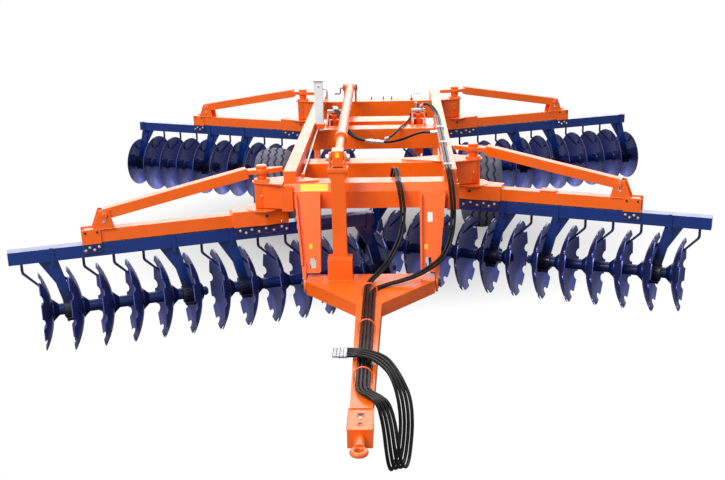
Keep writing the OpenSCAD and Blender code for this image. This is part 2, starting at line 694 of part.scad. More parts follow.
// Hoses: route points, and at each point the way to the next hose beside it; a and b are straight ends
function slant(d, t) = unit(d - (d * t) * t) * norm(d);
function lane(p, d, k, a, b) = let (c = route(p, 2), e = route(d, 2), m = len(c) - 1,
    q = [for (i = [0:m]) c[i] + (i == 0 || i == m ? e[i] : slant(e[i], slope(c, i))) * k * hose_pitch])
    concat(a == undef ? [] : [q[0] + a], q, b == undef ? [] : [q[m] + b]);
hose_pitch = 24;
hose_z = bar_z + hose_r + fit;
rail_hose_z = rail_top + hose_r + fit;
beam_hose_z = beam_top + hose_r + fit;
run_a_p = [[616, 580, rail_hose_z], [616, 1100, rail_hose_z], [616, 1900, rail_hose_z],
    [616, 2500, rail_hose_z], [613, 2700, rail_hose_z + 2], [600, 2850, 1312], [560, 2990, 1350],
    [510, 3070, 1362], [470, 3110, 1335]];
run_a_d = [[-1, 0, 0], [-1, 0, 0], [-1, 0, 0], [-1, 0, 0], [-1, 0, 0], [-1, -0.2, 0], [-0.8, -0.6, 0],
    [-0.5, -0.9, 0.2], [-0.5, -0.8, 0.3]];
run_b_p = [[222, 575, beam_hose_z], [220, 650, 1203], [206, 745, 1242], [188, 840, 1220],
    [175, 925, 1120], [166, 1010, 1040], [160, 1105, 1030], [160, 1195, 1045]];
run_b_d = [[-1, 0, 0], [-1, 0, 0], [-1, 0, 0], [-1, 0, 0], [-1, 0, 0], [-1, 0, 0], [-1, 0, 0],
    [-1, 0, 0]];
run_c_p = [[530, 2130, 1262], [466, 2150, 1258], [392, 2225, 1228], [278, 2340, 1160], [140, 2410, 1114],
    [0, 2460, 1112], [-129, 2500, 1122], [-215, 2560, 1150], [-280, 2640, 1200], [-320, 2760, 1235],
    [-345, 2900, 1265], [-385, 3020, 1300], [-415, 3085, 1330]];
run_c_d = [[0, -1, 0], [-0.5, -0.9, 0], [-0.5, -0.9, 0], [-0.4, -0.9, 0.2], [-0.3, -1, 0.2],
    [-0.3, -1, 0.2], [-0.4, -1, 0.1], [-0.7, -0.8, 0], [-1, -0.4, 0], [-1.1, 0, 0], [-1.1, 0, 0],
    [-1, 0, 0], [-1, 0, 0]];
run_e_p = [[426, 4270, 1160], [424, 4150, 1152], [410, 3900, 1150], [394, 3650, 1172], [372, 3400, 1205],
    [352, 3240, 1203], [330, 3080, 1199], [295, 2900, 1199], [255, 2720, 1202], [205, 2580, 1180],
    [150, 2480, 1152], [105, 2440, 1140]];
run_e_d = [[-1, 0, 0], [-1, 0, 0], [-1, 0, 0], [-1, 0, 0], [-1, 0, 0], [-1, 0, 0], [-1, 0, 0],
    [-1, 0, 0], [-1, 0, 0], [-1, 0, 0], [-1, 0, 0], [-1, 0, 0]];
span_a_p = [[616, 552, rail_hose_z], [617, 500, 1290], [627, 445, 1235], [642, 405, 1120],
    [648, 380, 960], [625, 330, 790], [545, 250, 640], [340, 130, 545], [156, 58, 512],
    [60, -12, hose_z + 2], [24, -100, hose_z]];
span_a_d = [[-1, 0, 0], [-1, 0, 0], [-1, 0, 0], [-1, 0, 0], [-1, 0, 0.1], [-0.9, 0, 0.4],
    [-0.4, 0.5, 0.8], [0, 1, 0.3], [-0.4, 0.9, 0], [-0.8, 0.4, 0], [-1, 0, 0]];
span_b_p = [[222, 547, beam_hose_z], [224, 500, 1196], [236, 455, 1150], [252, 425, 1050],
    [255, 395, 930], [225, 330, 780], [120, 220, 610], [14, 100, 532], [-20, 0, hose_z + 7],
    [-24, -100, hose_z]];
span_b_d = [[-1, 0, 0], [-1, 0, 0], [-1, 0, 0], [-1, 0, 0], [-1, 0, 0], [-0.9, 0, 0.4], [-0.7, 0.4, 0.5],
    [-1, 0.2, 0], [-1, 0, 0], [-1, 0, 0]];
loop_p = [[0, -1705, hose_z], [3, -1760, hose_z + 1], [24, -1828, hose_z + 6], [70, -1886, hose_z + 8],
    [124, -1928, 476], [156, -1966, 376], [172, -1992, 262], [184, -1992, 160], [200, -1952, 80],
    [220, -1876, 46], [240, -1796, 72], [254, -1738, 150], [260, -1700, 262], [244, -1650, 392],
    [190, -1566, 502], [115, -1456, 546], [40, -1360, 541], [-30, -1300, 529],
    [-95, -1284, 526]];
loop_d = [[-1, 0, 0], [-1, 0, 0], [-1, -0.2, 0.1], [-1, -0.4, 0.25], [-0.92, -0.45, 0.45],
    [-0.95, -0.4, 0.3], [-1, -0.3, 0.1], [-1, -0.35, 0.1], [-1, -0.4, 0], [-1, -0.35, 0], [-1, -0.3, 0],
    [-1, -0.2, 0.1], [-1, -0.2, 0.2], [-1, -0.4, 0.4], [-0.85, -0.6, 0.3], [-0.9, -0.7, 0],
    [-0.85, -0.9, 0], [-0.5, -1.3, 0], [0, -1.45, 0]];
module hose_run() dark() {
    for (k = [-0.5, 0.5]) {
        hose(lane(run_a_p, run_a_d, k, [0, -14, 0]), hose_r, [0.1, 0.2, 1]);
        hose(lane(run_b_p, run_b_d, k, [0, -14, 0], [0, 27.4, 0]), hose_r, [1, 0.1, 0.2]);
        hose(lane(run_c_p, run_c_d, k, [53.4, 0, 0]), hose_r, [0.1, 0.2, 1]);
    }
    hose(lane(run_e_p, run_e_d, 0, [0, 29.4, 0]), hose_r, [0.1, 0.2, 1]);
}
module hose_span() dark() for (k = [-0.5, 0.5]) {
    hose(lane(span_a_p, span_a_d, k, [0, 13.7, 0], [0, -15, 0]), hose_r, [-0.66, 0.52, -0.55]);
    hose(lane(span_b_p, span_b_d, k, [0, 13.7, 0], [0, -15, 0]), hose_r, [-0.97, 0.26, 0.05]);
}
module hose_loop() dark() for (k = [-1.5:1:1.5])
    hose(lane(loop_p, loop_d, k, [0, 14.4, 0], [-loop_tail, 0, 0]), hose_r, [-0.6, 0.19, -0.78]);
bundle_y = -115.3;
bundle_l = 1575;
module hose_bundle() dark() for (k = [-1.5:1:1.5]) translate([-hose_pitch * k, bundle_y, hose_z])
    rotate([90, 0, 0]) cylinder(r = hose_r, h = bundle_l, $fn = 24);
loop_tail = 15;
loop_end = loop_p[len(loop_p) - 1];
module couplings() steel() for (k = [-1.5:1:1.5])
    translate(loop_end + loop_d[len(loop_d) - 1] * k * hose_pitch - [loop_tail + fit, 0, 0])
    rotate([0, -90, 0]) {
        cylinder(r = hose_r + coupling_wall, h = coupling_l, $fn = 32);
        translate([0, 0, coupling_l]) cylinder(r = hose_r, h = coupling_tip, $fn = 32);
    }
coupling_wall = 4;
coupling_l = 60;
coupling_tip = 34;
guide_y = [-135, -862, -1642];
guide_wire = 5;
guide_room = 4;
guide_r = 1.5 * hose_pitch + hose_r + guide_room + guide_wire;
guide_h = 40;
module hose_guides() orange() for (y = guide_y) translate([0, y, bar_z]) {
    for (s = [-1, 1]) translate([s * guide_r, 0, 0]) cylinder(r = guide_wire, h = guide_h, $fn = 24);
    translate([0, 0, guide_h]) rotate([90, 0, 0]) rotate_extrude(angle = 180) translate([guide_r, 0])
        circle(r = guide_wire, $fn = 24);
}

machine() front_crossbeam();
machine() second_crossbeam();
machine() axle_crossbeam();
machine() rear_crossbeam();
machine() rail_beam(-1);  // rail_left
machine() rail_beam(1);  // rail_right
machine() leg(-1);  // leg_left
machine() leg(1);  // leg_right
machine() axle_hangers();
machine() parking_jack();
machine() hose_run();
machine() drawbar();
machine() mast();
machine() hitch_eye();
machine() hose_guides();
machine() hose_bundle();
machine() hose_loop();
machine() couplings();
machine() hose_span();
machine() link_tube();
machine() link_rod();
machine() rockshaft();
machine() lift_barrel(-1);  // lift_barrel_left
machine() lift_barrel(1);  // lift_barrel_right
machine() lift_rod(-1);  // lift_rod_left
machine() lift_rod(1);  // lift_rod_right
machine() tyre(-1);  // tyre_left
machine() tyre(1);  // tyre_right
machine() rim(-1);  // rim_left
machine() rim(1);  // rim_right
machine() boom_unit(-1, -1);  // boom_fl
machine() boom_unit(1, -1);  // boom_fr
machine() boom_unit(-1, 1);  // boom_rl
machine() boom_unit(1, 1);  // boom_rr
machine() strut_unit(-1, -1);  // strut_fl
machine() strut_unit(1, -1);  // strut_fr
machine() strut_unit(-1, 1);  // strut_rl
machine() strut_unit(1, 1);  // strut_rr
machine() gang_beam_unit(-1, -1);  // beam_fl
machine() gang_beam_unit(1, -1);  // beam_fr
machine() gang_beam_unit(-1, 1);  // beam_rl
machine() gang_beam_unit(1, 1);  // beam_rr
machine() discs(-1, -1, true);  // discs_fl_out
machine() discs(-1, -1, false);  // discs_fl_in
machine() discs(1, -1, true);  // discs_fr_out
machine() discs(1, -1, false);  // discs_fr_in
machine() discs(-1, 1, true);  // discs_rl_out
machine() discs(-1, 1, false);  // discs_rl_in
machine() discs(1, 1, true);  // discs_rr_out
machine() discs(1, 1, false);  // discs_rr_in
machine() shaft(-1, -1, true);  // shaft_fl_out
machine() shaft(-1, -1, false);  // shaft_fl_in
machine() shaft(1, -1, true);  // shaft_fr_out
machine() shaft(1, -1, false);  // shaft_fr_in
machine() shaft(-1, 1, true);  // shaft_rl_out
machine() shaft(-1, 1, false);  // shaft_rl_in
machine() shaft(1, 1, true);  // shaft_rr_out
machine() shaft(1, 1, false);  // shaft_rr_in
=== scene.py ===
"""Looks of the trailed disc harrow: finishes, hoses, fasteners, welds, tread, floor, light and camera."""
import math

import bmesh
import bpy
import numpy as np
from mathutils import Matrix, Vector


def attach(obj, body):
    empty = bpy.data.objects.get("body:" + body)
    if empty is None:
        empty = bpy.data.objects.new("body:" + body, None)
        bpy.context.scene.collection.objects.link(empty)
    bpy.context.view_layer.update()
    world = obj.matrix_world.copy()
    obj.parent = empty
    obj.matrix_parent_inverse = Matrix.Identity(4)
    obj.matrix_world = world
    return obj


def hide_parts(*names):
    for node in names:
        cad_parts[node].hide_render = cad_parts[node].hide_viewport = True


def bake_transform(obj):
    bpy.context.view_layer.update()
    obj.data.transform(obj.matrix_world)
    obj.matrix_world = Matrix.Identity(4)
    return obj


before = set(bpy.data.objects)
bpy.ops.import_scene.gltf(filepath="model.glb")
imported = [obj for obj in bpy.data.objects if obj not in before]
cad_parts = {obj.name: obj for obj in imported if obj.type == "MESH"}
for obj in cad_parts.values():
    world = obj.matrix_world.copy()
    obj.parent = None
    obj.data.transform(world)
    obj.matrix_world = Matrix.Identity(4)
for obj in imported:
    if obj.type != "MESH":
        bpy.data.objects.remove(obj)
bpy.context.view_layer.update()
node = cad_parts
scene = bpy.context.scene

# Driving places of the construction, in millimetres: +Y to the rear, +Z up
MID = 1494.909                    # lengthways shift from the construction to the row's frame
CORNERS = ("fl", "fr", "rl", "rr")
# Fold pins: the front right one stands back by the stagger
PIVOT_X, FRONT_Y, STAGGER, REAR_Y = 865, 613, 710, 4400
GANG_ANGLE = math.radians(20)
PIN_TOP, PLATE_Z, SLEEVE_Z = 1312, 968, 1219
# Gang: discs, the discs with a bearing standard, bearings and scraper shanks
PITCH_DISC, LAST = 230, 12
FIRST_DISC = {"f": -1057, "r": -2341}
STANDARDS = {"f": (0, 5, 7, 11), "r": (0, 4, 6, 11)}
AXIS_Z, BEAM_Z = 330, 740
BEARING_U, BEARING_HALF, BOLT_CIRCLE, CAP_DROP = 88, 52, 60, 84
SHANK_U, SHANK_Y = 190, 34
SCRAPER_TIP = {"all": (41, 502), "f": (37, 489), "r": (34, 476)}
# Boom with its clamps, and strut from the lug in to the fold pin
BOOM_L, BOOM_Z, BOOM_TOP, CLAMP_Y = 1360, 850, 950, 66.3
LUG_U, LUG_Z = 1248, 1062
STRUT_IN, STRUT_Z = 118, 1272
# Frame: crossbeams, rails, and the legs with their webs
CROSS_Y, BEAM_TOP = (613, 1323, 2800, 4400), 1185
RAIL_X, RAIL, RAIL_TOP, RAIL_HOSE_X = 634, 100, 1285, 616
LEG_IN, LEG_OUT, LEG_TAPER = 390, 592, 0.1
LEG_Y, LEG_Z, LEG_RAKE = 467, 1114, 0.375
LEG_TOP, LEG_FOOT = 1112, 600
WEB_Y, WEB_Z, WEB_RISE = 272, 527, 0.38
# Wheels, lift cylinder pins, parking jack and rear pin of the top link
WHEEL_X, WHEEL_Y, TYRE_R, TYRE_W, RIM_R = 1090, 3300, 437, 400, 205
LIFT_X, LIFT_Y, LIFT_Z = 430, 3150, 1240
JACK_X, JACK_Y = -544, 2600
LINK_X, LINK_Y, LINK_Z = -320, 4350, 1335
# Drawbar: hinge pins, mast head, top of the arm and start of the sleeve
HINGE_X, HINGE_Y, HINGE_Z = 524, 280, 435
MAST_X, MAST_Y, MAST_Z = -235, 300, 1445
BAR_Z, SLEEVE_Y = 490, -2000

BASE = Matrix.Scale(0.001, 4) @ Matrix.Translation((0, -MID, 0))


def point(x, y, z):
    """Point of the construction, in mm, as a point of the row's frame, in metres."""
    return BASE @ Vector((x, y, z))


def move(x, y, z, m=BASE):
    """Frame at a point, in mm, of the construction or of another frame."""
    return m @ Matrix.Translation((x, y, z))


def aim(v):
    """Turns the local Z axis to a direction."""
    return Vector(v).to_track_quat("Z", "Y").to_matrix().to_4x4()


def gang_frame(c, string=False):
    """Frame of a gang: X outward along it, or for its string of discs to their hollow side."""
    side, row = (-1 if c[1] == "l" else 1), (-1 if c[0] == "f" else 1)
    y = REAR_Y if row > 0 else FRONT_Y + (STAGGER if side > 0 else 0)
    m = move(side * PIVOT_X, y, 0) @ Matrix.Diagonal((side, 1, 1, 1))
    m = m @ Matrix.Rotation(row * GANG_ANGLE, 4, "Z")
    return m @ Matrix.Diagonal((-row, 1, 1, 1)) if string else m


# Camera, placed by matching the photograph's perspective
CAM_YAW, CAM_PITCH, CAM_ROLL = -0.0393, 0.3021, -0.0233
CAM_AT, CAM_LENS = (0.2436, -8.9190, 3.1958), 51.62
ahead = Vector((math.sin(CAM_YAW) * math.cos(CAM_PITCH), math.cos(CAM_YAW) * math.cos(CAM_PITCH),
                -math.sin(CAM_PITCH)))
flat = Vector((math.cos(CAM_YAW), -math.sin(CAM_YAW), 0))
over = flat.cross(ahead)
cos_r, sin_r = math.cos(CAM_ROLL), math.sin(CAM_ROLL)
cam = bpy.data.objects.new("camera", bpy.data.cameras.new("camera"))
pose = Matrix((cos_r * flat + sin_r * over, cos_r * over - sin_r * flat, -ahead)).transposed().to_4x4()
pose.translation = CAM_AT
cam.matrix_world = pose
cam.data.sensor_fit = "HORIZONTAL"
cam.data.sensor_width = 36
cam.data.lens = CAM_LENS
cam.data.clip_end = 200
scene.collection.objects.link(cam)
scene.camera = cam
scene.view_settings.view_transform = "Standard"


# Finishes
def srgb(*v):
    """Screen colour, in steps of 255, as a linear colour."""
    return tuple(((x / 255 + 0.055) / 1.055) ** 2.4 if x > 10 else x / 255 / 12.92 for x in v) + (1,)


def shade(col, k):
    """Colour made k times as light."""
    return tuple(min(1, x * k) for x in col[:3]) + (1,)


class Mat:
    """Builds one node material step by step."""

    def __init__(self, name):
        self.m = bpy.data.materials.new(name)
        self.m.use_nodes = True
        self.t = self.m.node_tree
        self.shader = self.t.nodes["Principled BSDF"]
        self.co = self.t.nodes.new("ShaderNodeTexCoord").outputs["Object"]

    def put(self, **sockets):
        """Sets the shader's own sockets."""
        for k, v in sockets.items():
            self.shader.inputs[k.replace("_", " ")].default_value = v
        return self

    def link(self, out, socket):
        """Links a node's output to a socket of the shader."""
        self.t.links.new(out, self.shader.inputs[socket])
        return self

    def add(self, kind, **inputs):
        """Adds a node with its inputs set."""
        n = self.t.nodes.new(kind)
        for k, v in inputs.items():
            n.inputs[k.replace("_", " ")].default_value = v
        return n

    def noise(self, scale, detail=3.0, rough=0.55):
        """Noise over the object's own space."""
        n = self.add("ShaderNodeTexNoise", Scale=scale, Detail=detail, Roughness=rough)
        self.t.links.new(self.co, n.inputs["Vector"])
        return n.outputs["Fac"]

    def ramp(self, fac, *stops):
        """Colours by value, from pairs of place and colour."""
        r = self.t.nodes.new("ShaderNodeValToRGB")
        e = r.color_ramp.elements
        while len(e) < len(stops):
            e.new(0.5)
        for el, (at, col) in zip(e, stops):
            el.position = at
            el.color = col if len(col) == 4 else tuple(col) + (1,)
        self.t.links.new(fac, r.inputs["Fac"])
        return r.outputs["Color"]

    def span(self, fac, lo, hi, a=0.3, b=0.7):
        """Maps values from a to b onto lo to hi."""
        r = self.add("ShaderNodeMapRange", From_Min=a, From_Max=b, To_Min=lo, To_Max=hi)
        self.t.links.new(fac, r.inputs["Value"])
        return r.outputs["Result"]

    def times(self, a, b):
        """Product of two outputs."""
        n = self.t.nodes.new("ShaderNodeMath")
        n.operation = "MULTIPLY"
        self.t.links.new(a, n.inputs[0])
        self.t.links.new(b, n.inputs[1])
        return n.outputs[0]

    def mix(self, fac, a, b):
        """Colour between a and b."""
        n = self.t.nodes.new("ShaderNodeMix")
        n.data_type = "RGBA"
        self.t.links.new(fac, n.inputs[0])
        for sock, v in ((n.inputs[6], a), (n.inputs[7], b)):
            if isinstance(v, bpy.types.NodeSocket):
                self.t.links.new(v, sock)
            else:
                sock.default_value = v
        return n.outputs[2]

    def bump(self, height, strength, distance):
        """Fine relief of the surface."""
        b = self.add("ShaderNodeBump", Strength=strength, Distance=distance)
        self.t.links.new(height, b.inputs["Height"])
        return self.link(b.outputs["Normal"], "Normal")

    def below(self, low, high):
        """1 under the height low, 0 over the height high, in metres."""
        z = self.t.nodes.new("ShaderNodeSeparateXYZ")
        self.t.links.new(self.co, z.inputs[0])
        return self.span(z.outputs["Z"], 1, 0, low, high)

    def occlusion_shade(self, distance, low, high):
        """0 in grooves and corners, 1 on open faces, from occlusion: a mask for painted shade."""
        ao = self.add("ShaderNodeAmbientOcclusion", Distance=distance)
        ao.samples = 6
        return self.span(ao.outputs["AO"], 0, 1, low, high)

    def edges(self, radius):
        """1 close to a sharp edge of the surface, 0 elsewhere."""
        b = self.add("ShaderNodeBevel", Radius=radius)
        b.samples = 4
        g = self.t.nodes.new("ShaderNodeNewGeometry")
        d = self.t.nodes.new("ShaderNodeVectorMath")
        d.operation = "DOT_PRODUCT"
        self.t.links.new(b.outputs["Normal"], d.inputs[0])
        self.t.links.new(g.outputs["Normal"], d.inputs[1])
        return self.span(d.outputs["Value"], 1, 0, 0.72, 0.99)


def paint(name, col, rough, coat, worn_and_lit, dust=None, foot=None, gloss=0.4):
    """Sprayed machine paint: patchy colour, orange peel, scuffs, lighter edges that are partly worn paint
    and partly painted highlight, thin dust, and a darker foot of another colour, given with the heights
    between which it starts."""
    t = Mat(name).put(Coat_Weight=coat, Coat_Roughness=0.1, Specular_IOR_Level=gloss)
    top = t.ramp(t.noise(2.3, 5), (0.3, shade(col, 0.9)), (0.55, col), (0.75, shade(col, 1.08)))
    scuff = t.ramp(t.noise(26, 8, 0.72), (0.68, (0, 0, 0)), (0.76, (1, 1, 1)))
    top = t.mix(scuff, top, shade(col, 0.72))
    # Foot: on the boom clamps navy halved as painted shade, on the gang bearings near black
    if foot:
        top = t.mix(t.below(foot[0], foot[1]), top, foot[2])
    if dust:
        top = t.mix(t.span(t.noise(7, 6, 0.7), 0, 0.22, 0.5, 0.85), top, dust)
    # Lighter edges: partly worn paint, partly painted edge highlight
    worn_and_lit_mask = t.times(t.edges(0.005), t.span(t.noise(31, 5, 0.7), 0, 0.9, 0.42, 0.62))
    t.link(t.mix(worn_and_lit_mask, top, worn_and_lit), "Base Color")
    t.link(t.span(t.noise(9, 4), rough - 0.06, rough + 0.12), "Roughness")
    return t.bump(t.noise(210, 2), 0.05, 0.003).m


def plain(name, scale, stops, rough, bump=(160, 0.1, 0.002), **sockets):
    """Finish with a mottled colour, a varied roughness and a fine grain."""
    t = Mat(name).put(**sockets)
    t.link(t.ramp(t.noise(scale, 5), *stops), "Base Color")
    t.link(t.span(t.noise(scale * 1.7, 4), *rough), "Roughness")
    return t.bump(t.noise(bump[0], 3), bump[1], bump[2]).m


def sheen(mat, metal):
    """Gives a finish a share of bare metal's reflection."""
    mat.node_tree.nodes["Principled BSDF"].inputs["Metallic"].default_value = metal
    return mat


def coupler_steel():
    """Plated steel with dark seams across X, where sleeves and collars of a coupling meet."""
    t = Mat("coupler_steel").put(Metallic=0.55)
    seam = t.add("ShaderNodeTexWave", Scale=14.0, Distortion=0.0)
    t.t.links.new(t.co, seam.inputs["Vector"])
    body = t.ramp(t.noise(30, 4), (0.3, srgb(150, 154, 160)), (0.7, srgb(196, 200, 204)))
    t.link(t.mix(t.span(seam.outputs["Fac"], 1, 0, 0.02, 0.12), body, srgb(40, 42, 46)), "Base Color")
    t.link(t.span(t.noise(24, 4), 0.28, 0.44), "Roughness")
    return t.bump(seam.outputs["Fac"], 0.3, 0.002).m


def tyre_rubber():
    """Rubber with light blue-grey ribs, partly dust and partly painted highlight, and grooves darkened by
    occlusion as painted shade.
    """
    t = Mat("tyre_rubber").put(Specular_IOR_Level=0.3)
    rib_dust_and_highlight = t.ramp(t.noise(11, 5), (0.3, srgb(72, 74, 92)), (0.6, srgb(92, 94, 114)),
                 (0.8, srgb(116, 116, 134)))
    # Grooves dark by occlusion: painted shade; ribs pale as dust and painted highlight
    t.link(t.mix(t.occlusion_shade(0.03, 0.55, 0.9), srgb(22, 22, 26), rib_dust_and_highlight), "Base Color")
    t.link(t.span(t.noise(18, 4), 0.5, 0.75), "Roughness")
    return t.bump(t.noise(160, 3), 0.2, 0.002).m


ORANGE, NAVY, INK = srgb(250, 102, 8), srgb(4, 44, 118), srgb(8, 12, 30)
# Lighter tints for the edges: partly worn paint, partly painted edge highlight
WORN_AND_LIT_ORANGE, WORN_AND_LIT_NAVY = srgb(250, 150, 90), srgb(50, 62, 110)
# Darker feet, with their heights in metres: navy clamp plates of a boom, made half as light as painted
# shade, and near black bearings of a gang
CLAMP_NAVY_AND_SHADE = (0.843, 0.846, shade(NAVY, 0.5))
BEARING_FOOT = (0.37, 0.52, INK)


def tones(low, high):
    """The two colours of a mottled finish."""
    return (0.3, srgb(*low)), (0.7, srgb(*high))


# Each finish: its material, and the record's slot
FINISH = {
    "orange": (paint("orange_enamel", ORANGE, 0.3, 0.4, WORN_AND_LIT_ORANGE), "orange_paint"),
    "boom": (paint("boom_enamel", ORANGE, 0.3, 0.4, WORN_AND_LIT_ORANGE, foot=CLAMP_NAVY_AND_SHADE), "orange_paint"),
    "blue": (paint("navy_enamel", NAVY, 0.26, 0.5, srgb(60, 92, 160), foot=BEARING_FOOT, gloss=0.3),
             "blue_paint"),
    "disc": (sheen(paint("disc_enamel", srgb(70, 78, 148), 0.2, 0.06, srgb(110, 114, 160),
                         dust=srgb(112, 104, 152), gloss=0.3), 0.7), "disc_steel"),
    "spool": (paint("spool_enamel", srgb(14, 34, 92), 0.34, 0.06, WORN_AND_LIT_NAVY,
                    dust=srgb(30, 34, 60), gloss=0.25), "spool_iron"),
    "iron": (paint("scraper_enamel", srgb(10, 18, 48), 0.34, 0.1, WORN_AND_LIT_NAVY), "blue_paint"),
    "rim": (paint("rim_enamel", srgb(206, 208, 206), 0.4, 0.2, srgb(150, 150, 150),
                  dust=srgb(150, 146, 138)), "rim_paint"),
    "zinc": (plain("galvanised", 9, tones((178, 182, 186), (214, 217, 220)), (0.3, 0.46),
                   Metallic=0.7), "zinc"),
    "bright": (plain("bright_zinc", 7, tones((214, 236, 242), (230, 248, 251)), (0.34, 0.5),
                     Metallic=0.15), "zinc"),
    "coupler": (coupler_steel(), "zinc"),
    "chrome": (plain("bright_rod", 40, tones((196, 198, 202), (226, 228, 230)), (0.1, 0.2),
                     Metallic=1.0), "zinc"),
    "dark": (plain("dark_steel", 12, tones((34, 33, 36), (66, 64, 66)), (0.35, 0.6), Metallic=0.5), "zinc"),
    "hose": (plain("black_hose", 14, tones((6, 6, 8), (15, 15, 18)), (0.26, 0.42), (420, 0.15, 0.001),
                   Specular_IOR_Level=0.22), "hose_rubber"),
    "rubber": (tyre_rubber(), "tyre_rubber"),
    "yellow": (plain("blank_label", 11, tones((238, 198, 24), (250, 216, 52)), (0.3, 0.45)), "orange_paint"),
    # Pale patch: painted light of the bright floor seen through a hole in the right leg web
    "pale": (plain("floor_seen_through_hole", 11, tones((226, 226, 222), (244, 244, 240)), (0.3, 0.45)), "zinc"),
}
# Finish of the CAD nodes whose names start so; the others are orange
LOOK = {"discs": "disc", "shaft": "spool", "beam": "blue", "boom": "boom", "tyre": "rubber", "rim": "rim",
        "hose_guides": "orange", "hose": "hose", "parking": "bright", "couplings": "coupler",
        "lift_rod": "chrome"}
for name, o in node.items():
    look = next((LOOK[k] for k in LOOK if name.startswith(k)), "orange")
    o.data.materials.clear()
    o.data.materials.append(FINISH[look][0])

# Rounded edges on the boxy sections and plates, in metres
EDGE, JOIN = 0.004, 0.00002
BOXY = ["front_crossbeam", "second_crossbeam", "axle_crossbeam", "rear_crossbeam", "rail_left", "rail_right",
        "drawbar", "mast", "parking_jack"]
BOXY += [f"{part}_{c}" for part in ("boom", "strut") for c in CORNERS]
for name in BOXY:
    weld = node[name].modifiers.new("join", "WELD")
    weld.merge_threshold = JOIN
    edge = node[name].modifiers.new("edge", "BEVEL")
    edge.width = EDGE
    edge.segments = 2
    edge.limit_method = "ANGLE"
    edge.angle_limit = math.radians(50)
    edge.use_clamp_overlap = True
    edge.harden_normals = True

# Hoses: route points, and at each point the way to the next hose beside it, as in the construction
PITCH, R = 24, 11
HZ, RZ, BZ = 501.3, 1296.3, 1196.3        # heights over the drawbar, the rail and the front beam
L = (-1, 0, 0)
RUN_A = ([(616, 580, RZ), (616, 1100, RZ), (616, 1900, RZ), (616, 2500, RZ), (613, 2700, RZ + 2),
          (600, 2850, 1312), (560, 2990, 1350), (510, 3070, 1362), (470, 3110, 1335)],
         [L, L, L, L, L, (-1, -0.2, 0), (-0.8, -0.6, 0), (-0.5, -0.9, 0.2), (-0.5, -0.8, 0.3)])
RUN_B = ([(222, 575, BZ), (220, 650, 1203), (206, 745, 1242), (188, 840, 1220), (175, 925, 1120),
          (166, 1010, 1040), (160, 1105, 1030), (160, 1195, 1045)], [L] * 8)
RUN_C = ([(530, 2130, 1262), (466, 2150, 1258), (392, 2225, 1228), (278, 2340, 1160), (140, 2410, 1114),
          (0, 2460, 1112), (-129, 2500, 1122), (-215, 2560, 1150), (-280, 2640, 1200), (-320, 2760, 1235),
          (-345, 2900, 1265), (-385, 3020, 1300), (-415, 3085, 1330)],
         [(0, -1, 0), (-0.5, -0.9, 0), (-0.5, -0.9, 0), (-0.4, -0.9, 0.2), (-0.3, -1, 0.2), (-0.3, -1, 0.2),
          (-0.4, -1, 0.1), (-0.7, -0.8, 0), (-1, -0.4, 0), (-1.1, 0, 0), (-1.1, 0, 0), L, L])
RUN_E = ([(426, 4270, 1160), (424, 4150, 1152), (410, 3900, 1150), (394, 3650, 1172), (372, 3400, 1205),
          (352, 3240, 1203), (330, 3080, 1199), (295, 2900, 1199), (255, 2720, 1202), (205, 2580, 1180),
          (150, 2480, 1152), (105, 2440, 1140)], [L] * 12)
SPAN_A = ([(616, 552, RZ), (617, 500, 1290), (627, 445, 1235), (642, 405, 1120), (648, 380, 960),
           (625, 330, 790), (545, 250, 640), (340, 130, 545), (156, 58, 512), (60, -12, HZ + 2),
           (24, -100, HZ)],
          [L, L, L, L, (-1, 0, 0.1), (-0.9, 0, 0.4), (-0.4, 0.5, 0.8), (0, 1, 0.3), (-0.4, 0.9, 0),
           (-0.8, 0.4, 0), L])
SPAN_B = ([(222, 547, BZ), (224, 500, 1196), (236, 455, 1150), (252, 425, 1050), (255, 395, 930),
           (225, 330, 780), (120, 220, 610), (14, 100, 532), (-20, 0, HZ + 7), (-24, -100, HZ)],
          [L, L, L, L, L, (-0.9, 0, 0.4), (-0.7, 0.4, 0.5), (-1, 0.2, 0), L, L])
LOOP = ([(0, -1705, HZ), (3, -1760, HZ + 1), (24, -1828, HZ + 6), (70, -1886, HZ + 8), (124, -1928, 476),
         (156, -1966, 376), (172, -1992, 262), (184, -1992, 160), (200, -1952, 80), (220, -1876, 46),
         (240, -1796, 72), (254, -1738, 150), (260, -1700, 262), (244, -1650, 392), (190, -1566, 502),
         (115, -1456, 546), (40, -1360, 541), (-30, -1300, 529), (-95, -1284, 526)],
        [L, L, (-1, -0.2, 0.1), (-1, -0.4, 0.25), (-0.92, -0.45, 0.45), (-0.95, -0.4, 0.3), (-1, -0.3, 0.1),
         (-1, -0.35, 0.1), (-1, -0.4, 0), (-1, -0.35, 0), (-1, -0.3, 0), (-1, -0.2, 0.1), (-1, -0.2, 0.2),
         (-1, -0.4, 0.4), (-0.85, -0.6, 0.3), (-0.9, -0.7, 0), (-0.85, -0.9, 0), (-0.5, -1.3, 0),
         (0, -1.45, 0)])


def spline(a, b, c, d, t):
    """Point at the share t from b to c of a smooth curve through four points."""
    square = (2 * a - 5 * b + 4 * c - d) * t * t
    return 0.5 * (2 * b + (c - a) * t + square + (3 * b - a - 3 * c + d) * t ** 3)


def route(p, n=2):
    """Points of a smooth curve, n for each given one."""
    p = [np.array(q, float) for q in p]
    e = len(p) - 1
    return [spline(p[max(i - 1, 0)], p[i], p[i + 1], p[min(i + 2, e)], k / n)
            for i in range(e) for k in range(n)] + [p[e]]


